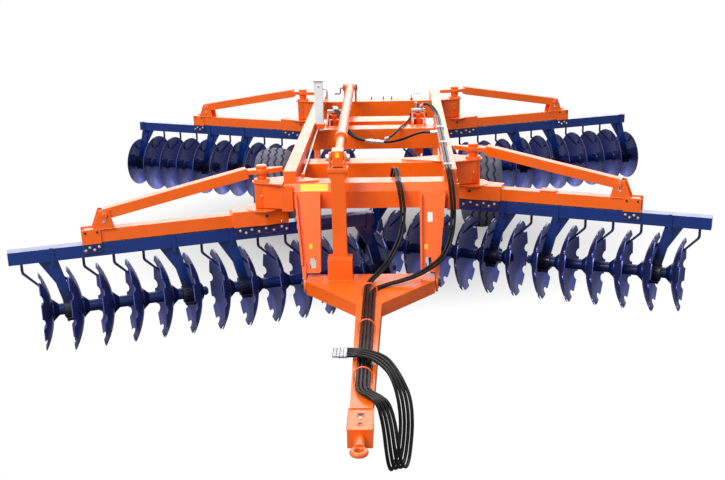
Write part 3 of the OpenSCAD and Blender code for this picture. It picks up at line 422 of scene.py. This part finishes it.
def lane(way, k, start=None, end=None):
    """Route, in mm, of the hose k places beside the middle of a set, with straight ends added."""
    c, e = route(way[0]), route(way[1])
    q = []
    for i, p in enumerate(c):
        v = e[i]
        if 0 < i < len(c) - 1:
            a = c[i + 1] - c[i - 1]
            a /= np.linalg.norm(a)
            v = v - (v @ a) * a
            v *= np.linalg.norm(e[i]) / np.linalg.norm(v)
        q.append(p + v * k * PITCH)
    return ([q[0] + start] if start else []) + q + ([q[-1] + end] if end else [])


def hose_curve(name, pts):
    """A hose as one smooth open curve through its route."""
    d = bpy.data.curves.new(name, "CURVE")
    d.dimensions = "3D"
    d.bevel_depth = R / 1000
    d.bevel_resolution = 3
    d.resolution_u = 6
    d.use_fill_caps = True
    sp = d.splines.new("BEZIER")
    sp.bezier_points.add(len(pts) - 1)
    for b, p in zip(sp.bezier_points, pts):
        b.co, b.handle_left_type, b.handle_right_type = point(*p), "AUTO", "AUTO"
    d.materials.append(FINISH["hose"][0])
    o = bpy.data.objects.new(name, d)
    scene.collection.objects.link(o)
    return o


def curve_mesh(o):
    """The same hose as a mesh tube, for a hose that spans a joint."""
    bpy.context.view_layer.update()
    me = bpy.data.meshes.new_from_object(o.evaluated_get(bpy.context.evaluated_depsgraph_get()))
    n = bpy.data.objects.new(o.name + "_tube", me)
    scene.collection.objects.link(n)
    bpy.data.objects.remove(o)
    return n


def curve_length(o):
    """Length of a curve's own line, in metres."""
    d = o.data.copy()
    d.bevel_depth = 0
    tmp = bpy.data.objects.new("tmp", d)
    me = bpy.data.meshes.new_from_object(tmp)
    v = np.array([x.co for x in me.vertices])
    bpy.data.meshes.remove(me)
    bpy.data.objects.remove(tmp)
    bpy.data.curves.remove(d)
    return float(np.linalg.norm(np.diff(v, axis=0), axis=1).sum())


PAIR, FOUR = (-0.5, 0.5), (-1.5, -0.5, 0.5, 1.5)
run_lanes = {f"a{i}": lane(RUN_A, k, (0, -14, 0)) for i, k in enumerate(PAIR)}
run_lanes |= {f"b{i}": lane(RUN_B, k, (0, -14, 0), (0, 27.4, 0)) for i, k in enumerate(PAIR)}
run_lanes |= {f"c{i}": lane(RUN_C, k, (53.4, 0, 0)) for i, k in enumerate(PAIR)}
run_lanes["e"] = lane(RUN_E, 0, (0, 29.4, 0))
run = [hose_curve("hose_run_" + k, q) for k, q in run_lanes.items()]
for o in run:
    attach(o, "frame")
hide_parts("hose_run")
for a, way in (("a", SPAN_A), ("b", SPAN_B)):
    for i, k in enumerate(PAIR):
        o = curve_mesh(hose_curve(f"hose_span_{a}{i}", lane(way, k, (0, 13.7, 0), (0, -15, 0))))
        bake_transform(o)
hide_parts("hose_span")
loops = [hose_curve(f"hose_loop_{i}", lane(LOOP, k, (0, 14.4, 0), (-15, 0, 0))) for i, k in enumerate(FOUR)]
for o in loops:
    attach(o, "drawbar")
    round(curve_length(o), 4)
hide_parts("hose_loop")


# Small pieces: shapes of one finish on one body are gathered into one mesh
def inset(pts, e):
    """Outline moved inward by e."""
    n, out = len(pts), []
    turn = sum(a[0] * b[1] - b[0] * a[1] for a, b in zip(pts, pts[1:] + pts[:1]))
    for i in range(n):
        p, q, r = (Vector(pts[(i + k) % n]) for k in (-1, 0, 1))
        a, b = (q - p).normalized(), (r - q).normalized()
        s = 1 if turn > 0 else -1
        na, nb = Vector((-a.y, a.x)) * s, Vector((-b.y, b.x)) * s
        h = (na + nb).normalized()
        out.append(tuple(q + h * e / max(h.dot(na), 0.4)))
    return out


def box2(x0, y0, x1, y1):
    """Outline of a rectangle."""
    return [(x0, y0), (x1, y0), (x1, y1), (x0, y1)]


def around(count, radius, start=0):
    """Points of a circle, the first at the share start of a step."""
    angles = [2 * math.pi * (i + start) / count for i in range(count)]
    return [(radius * math.cos(a), radius * math.sin(a)) for a in angles]


class Kit:
    """Gathers small shapes; lengths are in mm, and m places the local frame."""
    made = {}

    def __init__(self):
        self.bm = bmesh.new()

    def loft(self, m, rings):
        """Closed skin over rings of points."""
        vs = [[self.bm.verts.new(m @ Vector(p)) for p in ring] for ring in rings]
        n = len(rings[0])
        for a, b in zip(vs, vs[1:]):
            for i in range(n):
                j = (i + 1) % n
                self.bm.faces.new((a[i], a[j], b[j], b[i]))
        self.bm.faces.new(vs[0][::-1])
        self.bm.faces.new(vs[-1])

    def turn(self, m, profile, seg=16):
        """Round body about local Z from pairs of radius and height."""
        self.loft(m, [[(r * c, r * s, h) for c, s in around(seg, 1)] for r, h in profile])

    def bolt(self, m, d):
        """Hexagon head on a washer."""
        self.turn(m, [(1.1 * d, 0), (1.1 * d, 0.14 * d), (d, 0.2 * d)], 18)
        self.turn(m, [(0.96 * d, 0.2 * d), (0.96 * d, 0.7 * d), (0.78 * d, 0.86 * d)], 6)

    def stud(self, m, d, turns=6):
        """Nut on a washer with the threaded end standing out."""
        self.bolt(m, d)
        self.turn(m, [((0.5 if i % 2 else 0.42) * d, (0.86 + 0.12 * i) * d) for i in range(turns)], 10)

    def slab(self, m, outline, h, edge=2.0):
        """Plate of height h over an outline, with chamfered edges."""
        small = inset(outline, edge)
        levels = ((small, 0), (outline, edge), (outline, h - edge), (small, h))
        self.loft(m, [[(*p, z) for p in pts] for pts, z in levels])

    def pipe(self, m, pts, r, seg=10):
        """Round bar along points, with one radius or a radius for each point."""
        pts = [Vector(p) for p in pts]
        rs = r if isinstance(r, list) else [r] * len(pts)
        t = [(pts[min(i + 1, len(pts) - 1)] - pts[max(i - 1, 0)]).normalized() for i in range(len(pts))]
        u = t[0].orthogonal().normalized()
        rings = []
        for p, d, k in zip(pts, t, rs):
            u = (u - u.dot(d) * d).normalized()
            v = d.cross(u)
            rings.append([p + k * (x * u + y * v) for x, y in around(seg, 1)])
        self.loft(m, rings)

    def bead(self, m, p, q, r=5, step=12):
        """Weld bead with its ripples."""
        p, q = Vector(p), Vector(q)
        n = max(3, int((q - p).length / step))
        line = [p.lerp(q, i / n) for i in range(n + 1)]
        self.pipe(m, line, [r * (1.12 if i % 2 else 0.9) for i in range(n + 1)], 6)


def kit(body, look):
    return Kit.made.setdefault((body, look), Kit())


X, Y, Z = Vector((1, 0, 0)), Vector((0, 1, 0)), Vector((0, 0, 1))


def at(m, x, y, z, axis=Z):
    """Frame at a point of another frame, with its Z along an axis."""
    return move(x, y, z, m) @ aim(axis)


def dress_standards(c):
    """Bearing bolts, rings and caps, welds, grease nipples and scraper shanks on a gang beam."""
    m, row = gang_frame(c, True), c[0]
    metal, blue, iron, dark = (kit("gang_" + c, k) for k in ("zinc", "blue", "iron", "dark"))
    for g in STANDARDS[row]:
        w = FIRST_DISC[row] + g * PITCH_DISC + BEARING_U
        for s in (-1, 1):
            for y, z in around(4, BOLT_CIRCLE, 0.5):
                dark.bolt(at(m, w + s * BEARING_HALF, y, AXIS_Z + z, s * X), 8.5)
            iron.turn(at(m, w + s * BEARING_HALF, 0, AXIS_Z, s * X), [(51, -2), (51, 3), (49, 5)], 28)
            strap = w + 104 + s * 16
            blue.bead(m, (strap, -53, BEAM_Z + 6), (strap, -53, BEAM_Z + 94), 4)
        for y, end in ((-10, 204), (10, 144)):
            blue.bead(m, (w + 64, y, BEAM_Z - 3), (w + end, y, BEAM_Z - 3), 4)
        iron.slab(move(w, 0, AXIS_Z - CAP_DROP, m), box2(-44, -58, 44, 58), 26, 4)
        for x, y in box2(-30, -44, 30, 44):
            dark.bolt(at(m, w + x, y, AXIS_Z - CAP_DROP, -Z), 8)
        metal.turn(at(m, w, 0, AXIS_Z + 74, Z), [(5, -2), (5, 6), (3, 8), (4, 12), (2, 15)], 10)
    for k in range(LAST + 1):
        w = FIRST_DISC[row] + k * PITCH_DISC
        end = k == (LAST if row == "f" else 0)
        tip_u, tip_z = SCRAPER_TIP[row if end else "all"]
        bends = [(SHANK_U, BEAM_Z - 4), (SHANK_U, 660), (SHANK_U - 3, 646), (SHANK_U - 11, 635),
                 (tip_u + 40, tip_z + 38), (tip_u, tip_z)]
        iron.pipe(m, [(w + u, SHANK_Y, z) for u, z in bends], [11, 11, 11.5, 11, 9, 6])
        iron.slab(move(w + SHANK_U, SHANK_Y, BEAM_Z - 8, m), box2(-20, -16, 36, 16), 7, 1.5)
        dark.bolt(at(m, w + SHANK_U + 27, SHANK_Y, BEAM_Z - 8, -Z), 8)


# Clamp studs of a boom: their places along it, by height
CLAMP_STUDS = {818: (-131, 0, 116, 210, BOOM_L - 50, BOOM_L + 20),
               797: (-170, -64, 58, 164, BOOM_L - 14, BOOM_L + 52)}
CLIP = [(-60, -50), (60, -50), (76, -30), (76, 30), (60, 50), (-60, 50)]


def dress_boom(c):
    """Clamp studs, pivot plate, sleeve, pins, welds, end plate and strut flange of a boom."""
    m = gang_frame(c)
    metal, dark, orange = (kit("gang_" + c, k) for k in ("zinc", "dark", "orange"))
    for s in (-1, 1):
        for z, places in CLAMP_STUDS.items():
            for u in places:
                metal.stud(at(m, u, s * CLAMP_Y, z, s * Y), 10)
        for u in (BOOM_L - 45, BOOM_L + 45):
            dark.bolt(at(m, u, s * 66, BOOM_TOP - 14, s * Y), 9)
        dark.turn(at(m, -4, s * 94.5, BOOM_TOP - 23, s * Y), [(13, 0), (13, 3), (9, 4)], 16)
        metal.bolt(at(m, -133, s * 73, BOOM_Z + 18, Vector((-0.17, s, 0))), 10)
        cap = [(26, 0), (26, 4), (19, 5), (19, 12), (16, 15)]
        orange.turn(at(m, LUG_U, s * 57, LUG_Z, s * Y), cap, 24)
        metal.bolt(at(m, LUG_U + 10, s * 57, LUG_Z - 56, s * Y), 8)
        orange.bead(m, (LUG_U - 68, s * 58, BOOM_TOP + 2), (LUG_U + 98, s * 58, BOOM_TOP + 2), 5)
        orange.bead(m, (263, s * 51, BOOM_Z + 4), (263, s * 51, BOOM_TOP - 2), 5)
        orange.bead(m, (BOOM_L - 68, s * 51, BOOM_TOP + 2), (BOOM_L + 48, s * 51, BOOM_TOP + 2), 4)
    orange.bead(m, (263, -48, BOOM_TOP + 2), (263, 48, BOOM_TOP + 2), 5)
    # Round plate under the fold column, sleeve and cap of the fold pin
    orange.turn(at(m, 0, 0, PLATE_Z), [(134, 0), (136, 2), (136, 10), (134, 12)], 64)
    orange.turn(at(m, 0, 0, SLEEVE_Z), [(38, 0), (40, 2), (40, 38), (38, 40)], 32)
    orange.turn(at(m, 0, 0, PIN_TOP - 15), [(43, 0), (44, 2), (44, 20), (38, 26), (12, 28)], 32)
    # End plate of the boom and end flange of the strut
    orange.slab(at(m, BOOM_L + 50, 0, BOOM_TOP - 50, X), box2(-46, -46, 46, 46), 6, 2)
    lean = Vector((STRUT_IN - LUG_U, 0, STRUT_Z - LUG_Z)).normalized()
    metal.slab(at(m, LUG_U - 2, 0, LUG_Z, -lean), box2(-64, -50, 64, 50), 9, 2)
    if c == "fr":
        orange.slab(move(656, 0, BOOM_TOP, m), CLIP, 16, 3)


def weld_frame():
    """Welds of the rails, legs and fold columns, hinge caps and grease nipples."""
    orange, metal, dark = (kit("frame", k) for k in ("orange", "zinc", "dark"))
    for s in (-1, 1):
        for y in CROSS_Y:
            for x in (RAIL_X - RAIL / 2 - 2, RAIL_X + RAIL / 2 + 2):
                orange.bead(BASE, (s * x, max(y - 96, 552), BEAM_TOP + 2), (s * x, y + 96, BEAM_TOP + 2), 5)
        for x in (LEG_IN + 2, LEG_OUT - 2):
            orange.bead(BASE, (s * x, 511, 990), (s * x, 511, 1110), 5)
        orange.bead(BASE, (s * (LEG_IN + 8), 511, 1113), (s * (LEG_OUT - 4), 511, 1113), 5)
        cap = [(40, 0), (40, 8), (27, 9), (27, 20), (22, 24)]
        dark.turn(at(BASE, s * HINGE_X, HINGE_Y, HINGE_Z, s * X), cap, 28)
        metal.slab(at(BASE, s * HINGE_X, HINGE_Y - 4, HINGE_Z + 46, s * X), box2(-26, -10, 26, 10), 6, 1)
        metal.bolt(at(BASE, s * (HINGE_X + 6), HINGE_Y - 4, HINGE_Z + 48, s * X), 9)
    for y, s in ((FRONT_Y, -1), (FRONT_Y + STAGGER, 1), (REAR_Y, -1), (REAR_Y, 1)):
        nipple = [(6, -2), (6, 7), (3.5, 9), (5, 14), (3, 17)]
        metal.turn(at(BASE, s * PIVOT_X, y - 62, 1085, -Y), nipple, 10)
        ring = [(s * PIVOT_X + u, y + v, BEAM_TOP + 13) for u, v in around(16, 64)]
        for p, q in zip(ring, ring[1:] + ring[:1]):
            orange.bead(BASE, p, q, 4)


def plate_frame():
    """Gusset, blank labels, a pale patch painted as bright floor seen through a hole, and strips, edges and
    blocks of the legs.
    """
    orange = kit("frame", "orange")
    # Pointed gusset on the left end of the front beam
    orange.slab(move(0, FRONT_Y, BEAM_TOP), [(-582, -62), (-582, 120), (-412, 26), (-412, -10)], 12, 1.5)
    # Blank labels on the bevel of the front beam and on the leg webs, and on the right leg web a pale patch
    # painted as the bright floor seen through a hole
    bevel = Vector((0, 35, 65)).normalized()
    tilt = Matrix((X, bevel, X.cross(bevel))).transposed().to_4x4()
    kit("frame", "yellow").slab(move(-441, 530.2, 1153) @ tilt, box2(-110, -29, 110, 29), 1.5, 0.5)
    slope = Vector((0, WEB_RISE, 1)).normalized()
    web = Matrix((X, slope, X.cross(slope))).transposed().to_4x4()
    # The pale one on the right leg stands for a hole with the bright floor behind it: painted light
    labels_and_floor_patch = (("yellow", -470, 723, 13, 19), ("yellow", 435, 713, 13, 19), ("pale", 469, 931, 20, 38))
    for look, x, z, w, h in labels_and_floor_patch:
        y = WEB_Y + WEB_RISE * (z - WEB_Z)
        kit("frame", look).slab(move(x, y - 0.5, z) @ web, box2(-w, -h, w, h), 2, 0.5)
    # Outer strip of the leg webs, deeper flange edges and upright blocks beside the legs
    strip = [(512, 856), (552, 856), (526, 575), (512, 575)]
    flange = [(LEG_TOP, -22), (LEG_TOP, 4), (LEG_FOOT, 4), (LEG_FOOT, -22)]
    for s in (-1, 1):
        orange.loft(BASE, [[(s * x, WEB_Y + WEB_RISE * (z - WEB_Z) + d, z) for x, z in strip]
                           for d in (0, 12)])
        orange.loft(BASE, [[(s * x, LEG_Y - LEG_RAKE * (LEG_Z - z) + d, z) for z, d in flange]
                           for x in (LEG_IN, LEG_IN + 14)])
        orange.loft(BASE, [[(s * (LEG_OUT - LEG_TAPER * (LEG_Z - z) - e),
                             LEG_Y - LEG_RAKE * (LEG_Z - z) + d, z) for z, d in flange] for e in (0, 14)])
        orange.slab(at(BASE, s * 655, FRONT_Y - 100, 1074, -Y), box2(-46, -106, 46, 106), 24, 4)


def fit_frame():
    """Hose saddles, studs, lock lever, link handle, pin caps and the parking jack's fittings."""
    orange, metal, dark = (kit("frame", k) for k in ("orange", "zinc", "dark"))
    # Saddles over the hose pair on the right rail
    for y in (640, 1479, 2169):
        metal.slab(move(RAIL_HOSE_X, y, RAIL_TOP), box2(-34, -16, 34, 16), 26, 4)
        metal.bolt(at(BASE, RAIL_HOSE_X, y, RAIL_TOP + 26), 8)
    # Studs and lock lever on the rear beam, handle and caps of the rear link pin, caps of the lift pins
    for x in (-83, 55, 149):
        dark.stud(at(BASE, x, REAR_Y + 70, BEAM_TOP), 10, 16)
    lever = [(376, BEAM_TOP), (376, 1238), (382, 1250), (392, 1253), (476, 1255)]
    metal.pipe(BASE, [(x, REAR_Y, z) for x, z in lever], 6)
    dark.turn(at(BASE, 376, REAR_Y, BEAM_TOP), [(16, 0), (16, 10), (12, 14)], 16)
    handle = [(78, 0), (100, 0), (108, 8), (112, 56), (120, 66), (178, 68)]
    dark.pipe(BASE, [(LINK_X - out, LINK_Y, LINK_Z - drop) for out, drop in handle], 7)
    for s in (-1, 1):
        cap = [(40, 0), (40, 4), (30, 6), (30, 10)]
        dark.turn(at(BASE, LINK_X + s * 71, LINK_Y, LINK_Z, s * X), cap, 24)
        x = LINK_X + s * 73
        orange.bead(BASE, (x, LINK_Y - 46, BEAM_TOP + 2), (x, LINK_Y + 116, BEAM_TOP + 2), 5)
        for e in (-1, 1):
            cap = [(34, -1), (34, 3), (24, 5), (24, 12), (20, 15)]
            dark.turn(at(BASE, s * (LIFT_X + e * 71), LIFT_Y, LIFT_Z, X * s * e), cap, 24)
    # Parking jack: collar, pin, crank and long lever rod
    orange.slab(move(JACK_X, JACK_Y, 1228), box2(-52, -52, 52, 52), 44, 4)
    pin = [(9, 0), (9, 3), (6, 4), (6, 14), (4, 16)]
    metal.turn(at(BASE, JACK_X, JACK_Y - 40, 1640, -Y), pin, 16)
    crank = [(40, 1604), (70, 1604), (78, 1596), (80, 1530)]
    metal.pipe(BASE, [(JACK_X + x, JACK_Y, z) for x, z in crank], 7)
    metal.pipe(BASE, [(-560, 2548, 1222), (-560, 2300, 1220), (-553, 1500, 1210), (-548, 742, 1202)], 8)
    for x, y, z in ((-560, 2540, 1222), (-548, 736, 1202)):
        orange.slab(move(x, y, z - 18), box2(-14, -12, 14, 12), 34, 3)


# Hydraulic fittings: pairs of radius and length
FERRULE = [(13, 0), (14, 2), (14, 30), (16, 31), (16, 44), (11, 46), (11, 60)]
SOCKET = [(12, 0), (14, 3), (14, 34), (15, 36), (15, 46), (18, 47), (18, 61)]
UNION = [(13, 0), (15, 3), (15, 40), (20, 42), (20, 78), (16, 80), (16, 112), (20, 114), (20, 150),
         (15, 152), (15, 189), (13, 192)]
PORT = [(13, 0), (14, 2), (14, 26), (17, 27), (17, 44), (10, 46)]


def fitting(point, along, back, profile, seg=12):
    """Fitting round a hose of the frame: it starts a way back from a point and runs along a direction."""
    d = Vector(along).normalized()
    kit("frame", "zinc").turn(at(BASE, *(Vector(point) - back * d), d), profile, seg)


def fit_hoses():
    """Valve blocks on the lift cylinders and fittings on the hoses of the frame."""
    for s in (-1, 1):
        block = move(s * LIFT_X, LIFT_Y - 42, LIFT_Z + 40.3)
        kit("frame", "zinc").slab(block, box2(-70, -18, 70, 24), 28, 4)
    for k, q in run_lanes.items():
        if k[0] in "ac":
            fitting(q[-1], q[-1] - q[-2], 34, FERRULE)
        if k[0] in "bce":
            end, before = (q[-1], q[-2]) if k[0] == "b" else (q[0], q[1])
            fitting(end, end - before, 62, SOCKET)
    for k in ("c0", "c1"):
        q = run_lanes[k]
        i = min(range(len(q)), key=lambda j: abs(q[j][0] + 5))
        fitting(q[i], q[i + 1] - q[i - 1], 96, UNION, 14)
    q = run_lanes["e"]
    fitting(q[-1], q[-1] - q[-2], 30, PORT)


def dress_drawbar():
    """Mast collar, pin caps and welds, blank link label, and the sleeve's holes, pin and welds."""
    orange, metal, dark = (kit("drawbar", k) for k in ("orange", "zinc", "dark"))
    orange.slab(move(MAST_X, MAST_Y - 5, 1338), box2(-76, -60, 76, 58), 36, 6)
    foot, step = BAR_Z + 2, BAR_Z + 172
    for s in (-1, 1):
        cap = [(34, 0), (34, 5), (27, 6), (27, 22), (22, 26)]
        metal.turn(at(BASE, MAST_X + s * 66, MAST_Y, MAST_Z, s * X), cap, 24)
        for out, front, z in ((97, 108, foot), (57, 53, step)):
            x = MAST_X + s * out
            orange.bead(BASE, (x, MAST_Y - front, z), (x, MAST_Y + 43, z), 5)
    for out, front, z in ((94, 112, foot), (54, 57, step)):
        orange.bead(BASE, (MAST_X - out, MAST_Y - front, z), (MAST_X + out, MAST_Y - front, z), 5)
    label = at(BASE, MAST_X, MAST_Y - 48, MAST_Z + 30, -Y)
    kit("link_piston", "yellow").slab(label, box2(-16, -20, 16, 20), 1.5, 0.5)
    for y, r in ((SLEEVE_Y - 74, 20), (SLEEVE_Y - 186, 13)):
        orange.turn(at(BASE, 0, y, 482), [(r + 7, 0), (r + 7, 3), (r + 4, 5), (r, 5)], 24)
        dark.turn(at(BASE, 0, y, 482), [(r, 0), (r, 5.2), (r - 3, 5.4)], 24)
    metal.turn(at(BASE, 0, SLEEVE_Y - 116, 482), [(11, 0), (11, 6), (7, 9)], 16)
    for x in (-72, 72):
        orange.bead(BASE, (x, SLEEVE_Y - 246, 484), (x, SLEEVE_Y + 8, 484), 4)


def dress_wheel(side):
    """Lug nuts, hub cap and valve of a rim, and a tyre with zigzag ribs."""
    s = -1 if side == "left" else 1
    body = "wheel_" + side
    hub = move(s * WHEEL_X, WHEEL_Y, TYRE_R) @ aim(s * X)
    for x, y in around(8, 112, 0.5):
        kit(body, "zinc").stud(move(x, y, 48, hub), 16, 5)
    cap = [(58, 0), (58, 20), (52, 28), (30, 34), (4, 35)]
    kit(body, "rim").turn(move(0, 0, 78, hub), cap, 32)
    kit(body, "dark").pipe(hub, [(168, 0, 48), (172, 0, 66), (176, 0, 84)], 5)

    # Tyre: sidewall, shoulder, and ribs parted by zigzag grooves, as radius and share of the half width
    seg, half, deep = 48, TYRE_W / 2, 13
    wall = [(RIM_R + 0.3, 0.72), (RIM_R + 20, 0.9), (RIM_R + 55, 0.95), (RIM_R + 110, 1.0),
            (TYRE_R - 84, 0.95)]
    crown = [(TYRE_R, 0.0), (TYRE_R - 5, 0.34), (TYRE_R - 18, 0.62), (TYRE_R - 44, 0.82)]

    def crown_r(f):
        return float(np.interp(abs(f), [p[1] for p in crown], [p[0] for p in crown]))

    grooves = (-0.54, -0.18, 0.18, 0.54)
    bm = bmesh.new()
    rings = []
    for i, (c, v) in enumerate(around(seg, 1)):
        zig = 0.05 if i % 2 else -0.05
        prof = [(r, -f) for r, f in wall] + [(crown_r(0.82), -0.82)]
        for g in grooves:
            for off, cut in ((-0.055, 0), (-0.03, deep), (0.03, deep), (0.055, 0)):
                f = g + zig + off
                prof.append((crown_r(f) - cut, f))
        prof += [(crown_r(0.82), 0.82)] + [(r, f) for r, f in wall[::-1]]
        rings.append([bm.verts.new(hub @ Vector((r * c, r * v, f * half))) for r, f in prof])
    n = len(rings[0])
    for i in range(seg):
        p, q = rings[i], rings[(i + 1) % seg]
        for k in range(n - 1):
            bm.faces.new((p[k], p[k + 1], q[k + 1], q[k]))
        bm.faces.new((p[n - 1], p[0], q[0], q[n - 1]))
    tyre = finish_mesh("tyre_tread_" + side, bm, "rubber", body, 60)
    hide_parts("tyre_" + side)


def finish_mesh(name, bm, look, body, angle=35):
    """Turns gathered shapes into one piece that rides on its body."""
    bmesh.ops.recalc_face_normals(bm, faces=bm.faces)
    me = bpy.data.meshes.new(name)
    bm.to_mesh(me)
    bm.free()
    me.polygons.foreach_set("use_smooth", [True] * len(me.polygons))
    me.set_sharp_from_angle(angle=math.radians(angle))
    me.materials.append(FINISH[look][0])
    o = bpy.data.objects.new(name, me)
    scene.collection.objects.link(o)
    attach(o, body)
    return o


for c in CORNERS:
    dress_standards(c)
    dress_boom(c)
weld_frame()
plate_frame()
fit_frame()
fit_hoses()
dress_drawbar()
for side in ("left", "right"):
    dress_wheel(side)
for (body, look), k in Kit.made.items():
    finish_mesh(f"trim_{look}_{body}", k.bm, look, body)

# Floor: lit and grey in an oval under and behind the part, where it keeps the shadow and adds painted shade,
# plain white further out
FLOOR_HALF, FLOOR_GREY = 60, (0.24, 0.24, 0.235, 1)
# Oval of painted shade on the floor: its shift and its half widths, in metres
SHADE_OVAL_AT, SHADE_OVAL_X, SHADE_OVAL_Y = -0.6, 3.3, 2.6
me = bpy.data.meshes.new("floor")
me.from_pydata([(x, y, 0) for x, y in box2(-FLOOR_HALF, -FLOOR_HALF, FLOOR_HALF, FLOOR_HALF)], [],
               [(0, 1, 2, 3)])
floor = bpy.data.objects.new("floor", me)
floor.location.z = -0.001
scene.collection.objects.link(floor)
t = Mat("studio_floor").put(Roughness=0.9, Specular_IOR_Level=0.1, Base_Color=FLOOR_GREY)
shade_oval = t.add("ShaderNodeMapping", Location=(0, SHADE_OVAL_AT, 0), Scale=(1 / SHADE_OVAL_X, 1 / SHADE_OVAL_Y, 1))
t.t.links.new(t.co, shade_oval.inputs["Vector"])
away = t.add("ShaderNodeVectorMath")
away.operation = "LENGTH"
t.t.links.new(shade_oval.outputs["Vector"], away.inputs[0])
lit = t.t.nodes.new("ShaderNodeLightPath").outputs["Is Camera Ray"]
glow = t.add("ShaderNodeEmission", Color=(1, 1, 1, 1), Strength=1.0)
blend = t.t.nodes.new("ShaderNodeMixShader")
share = t.times(lit, t.span(away.outputs["Value"], 0.1, 1, 0.1, 0.88))
t.t.links.new(share, blend.inputs[0])
t.t.links.new(t.shader.outputs[0], blend.inputs[1])
t.t.links.new(glow.outputs[0], blend.inputs[2])
t.t.links.new(blend.outputs[0], t.t.nodes["Material Output"].inputs["Surface"])
me.materials.append(t.m)

# World: soft light on the part, white for what the camera, metal and gloss see
SOFT, WHITE = ((0.95, 0.97, 1, 1), 0.5), ((1, 1, 1, 1), 1.0)
world = bpy.data.worlds.new("studio")
scene.world = world
world.use_nodes = True
tree = world.node_tree
tree.nodes.clear()
rays = tree.nodes.new("ShaderNodeLightPath")
seen = rays.outputs["Is Camera Ray"]
for kind in ("Is Glossy Ray", "Is Transmission Ray"):
    either = tree.nodes.new("ShaderNodeMath")
    either.operation = "MAXIMUM"
    tree.links.new(seen, either.inputs[0])
    tree.links.new(rays.outputs[kind], either.inputs[1])
    seen = either.outputs[0]
choice = tree.nodes.new("ShaderNodeMixShader")
tree.links.new(seen, choice.inputs[0])
for i, (col, strength) in enumerate((SOFT, WHITE), 1):
    sky = tree.nodes.new("ShaderNodeBackground")
    sky.inputs["Color"].default_value = col
    sky.inputs["Strength"].default_value = strength
    tree.links.new(sky.outputs[0], choice.inputs[i])
tree.links.new(choice.outputs[0], tree.nodes.new("ShaderNodeOutputWorld").inputs[0])


def area(name, start, to, wide, high, watts):
    """Soft box that looks from one point to another."""
    d = bpy.data.lights.new(name, "AREA")
    d.shape = "RECTANGLE"
    d.size = wide
    d.size_y = high
    d.energy = watts
    o = bpy.data.objects.new(name, d)
    o.location = start
    o.rotation_euler = (Vector(to) - Vector(start)).to_track_quat("-Z", "Y").to_euler()
    scene.collection.objects.link(o)


area("key", (-4.5, -7.5, 8.5), (0, 0, 0.6), 6, 6, 1150)
area("top", (1.0, 3.5, 9.5), (0, 0.5, 0.6), 8, 8, 620)
area("rim", (0.0, 13.0, 6.6), (0, 0.0, 1.0), 26, 9, 1150)
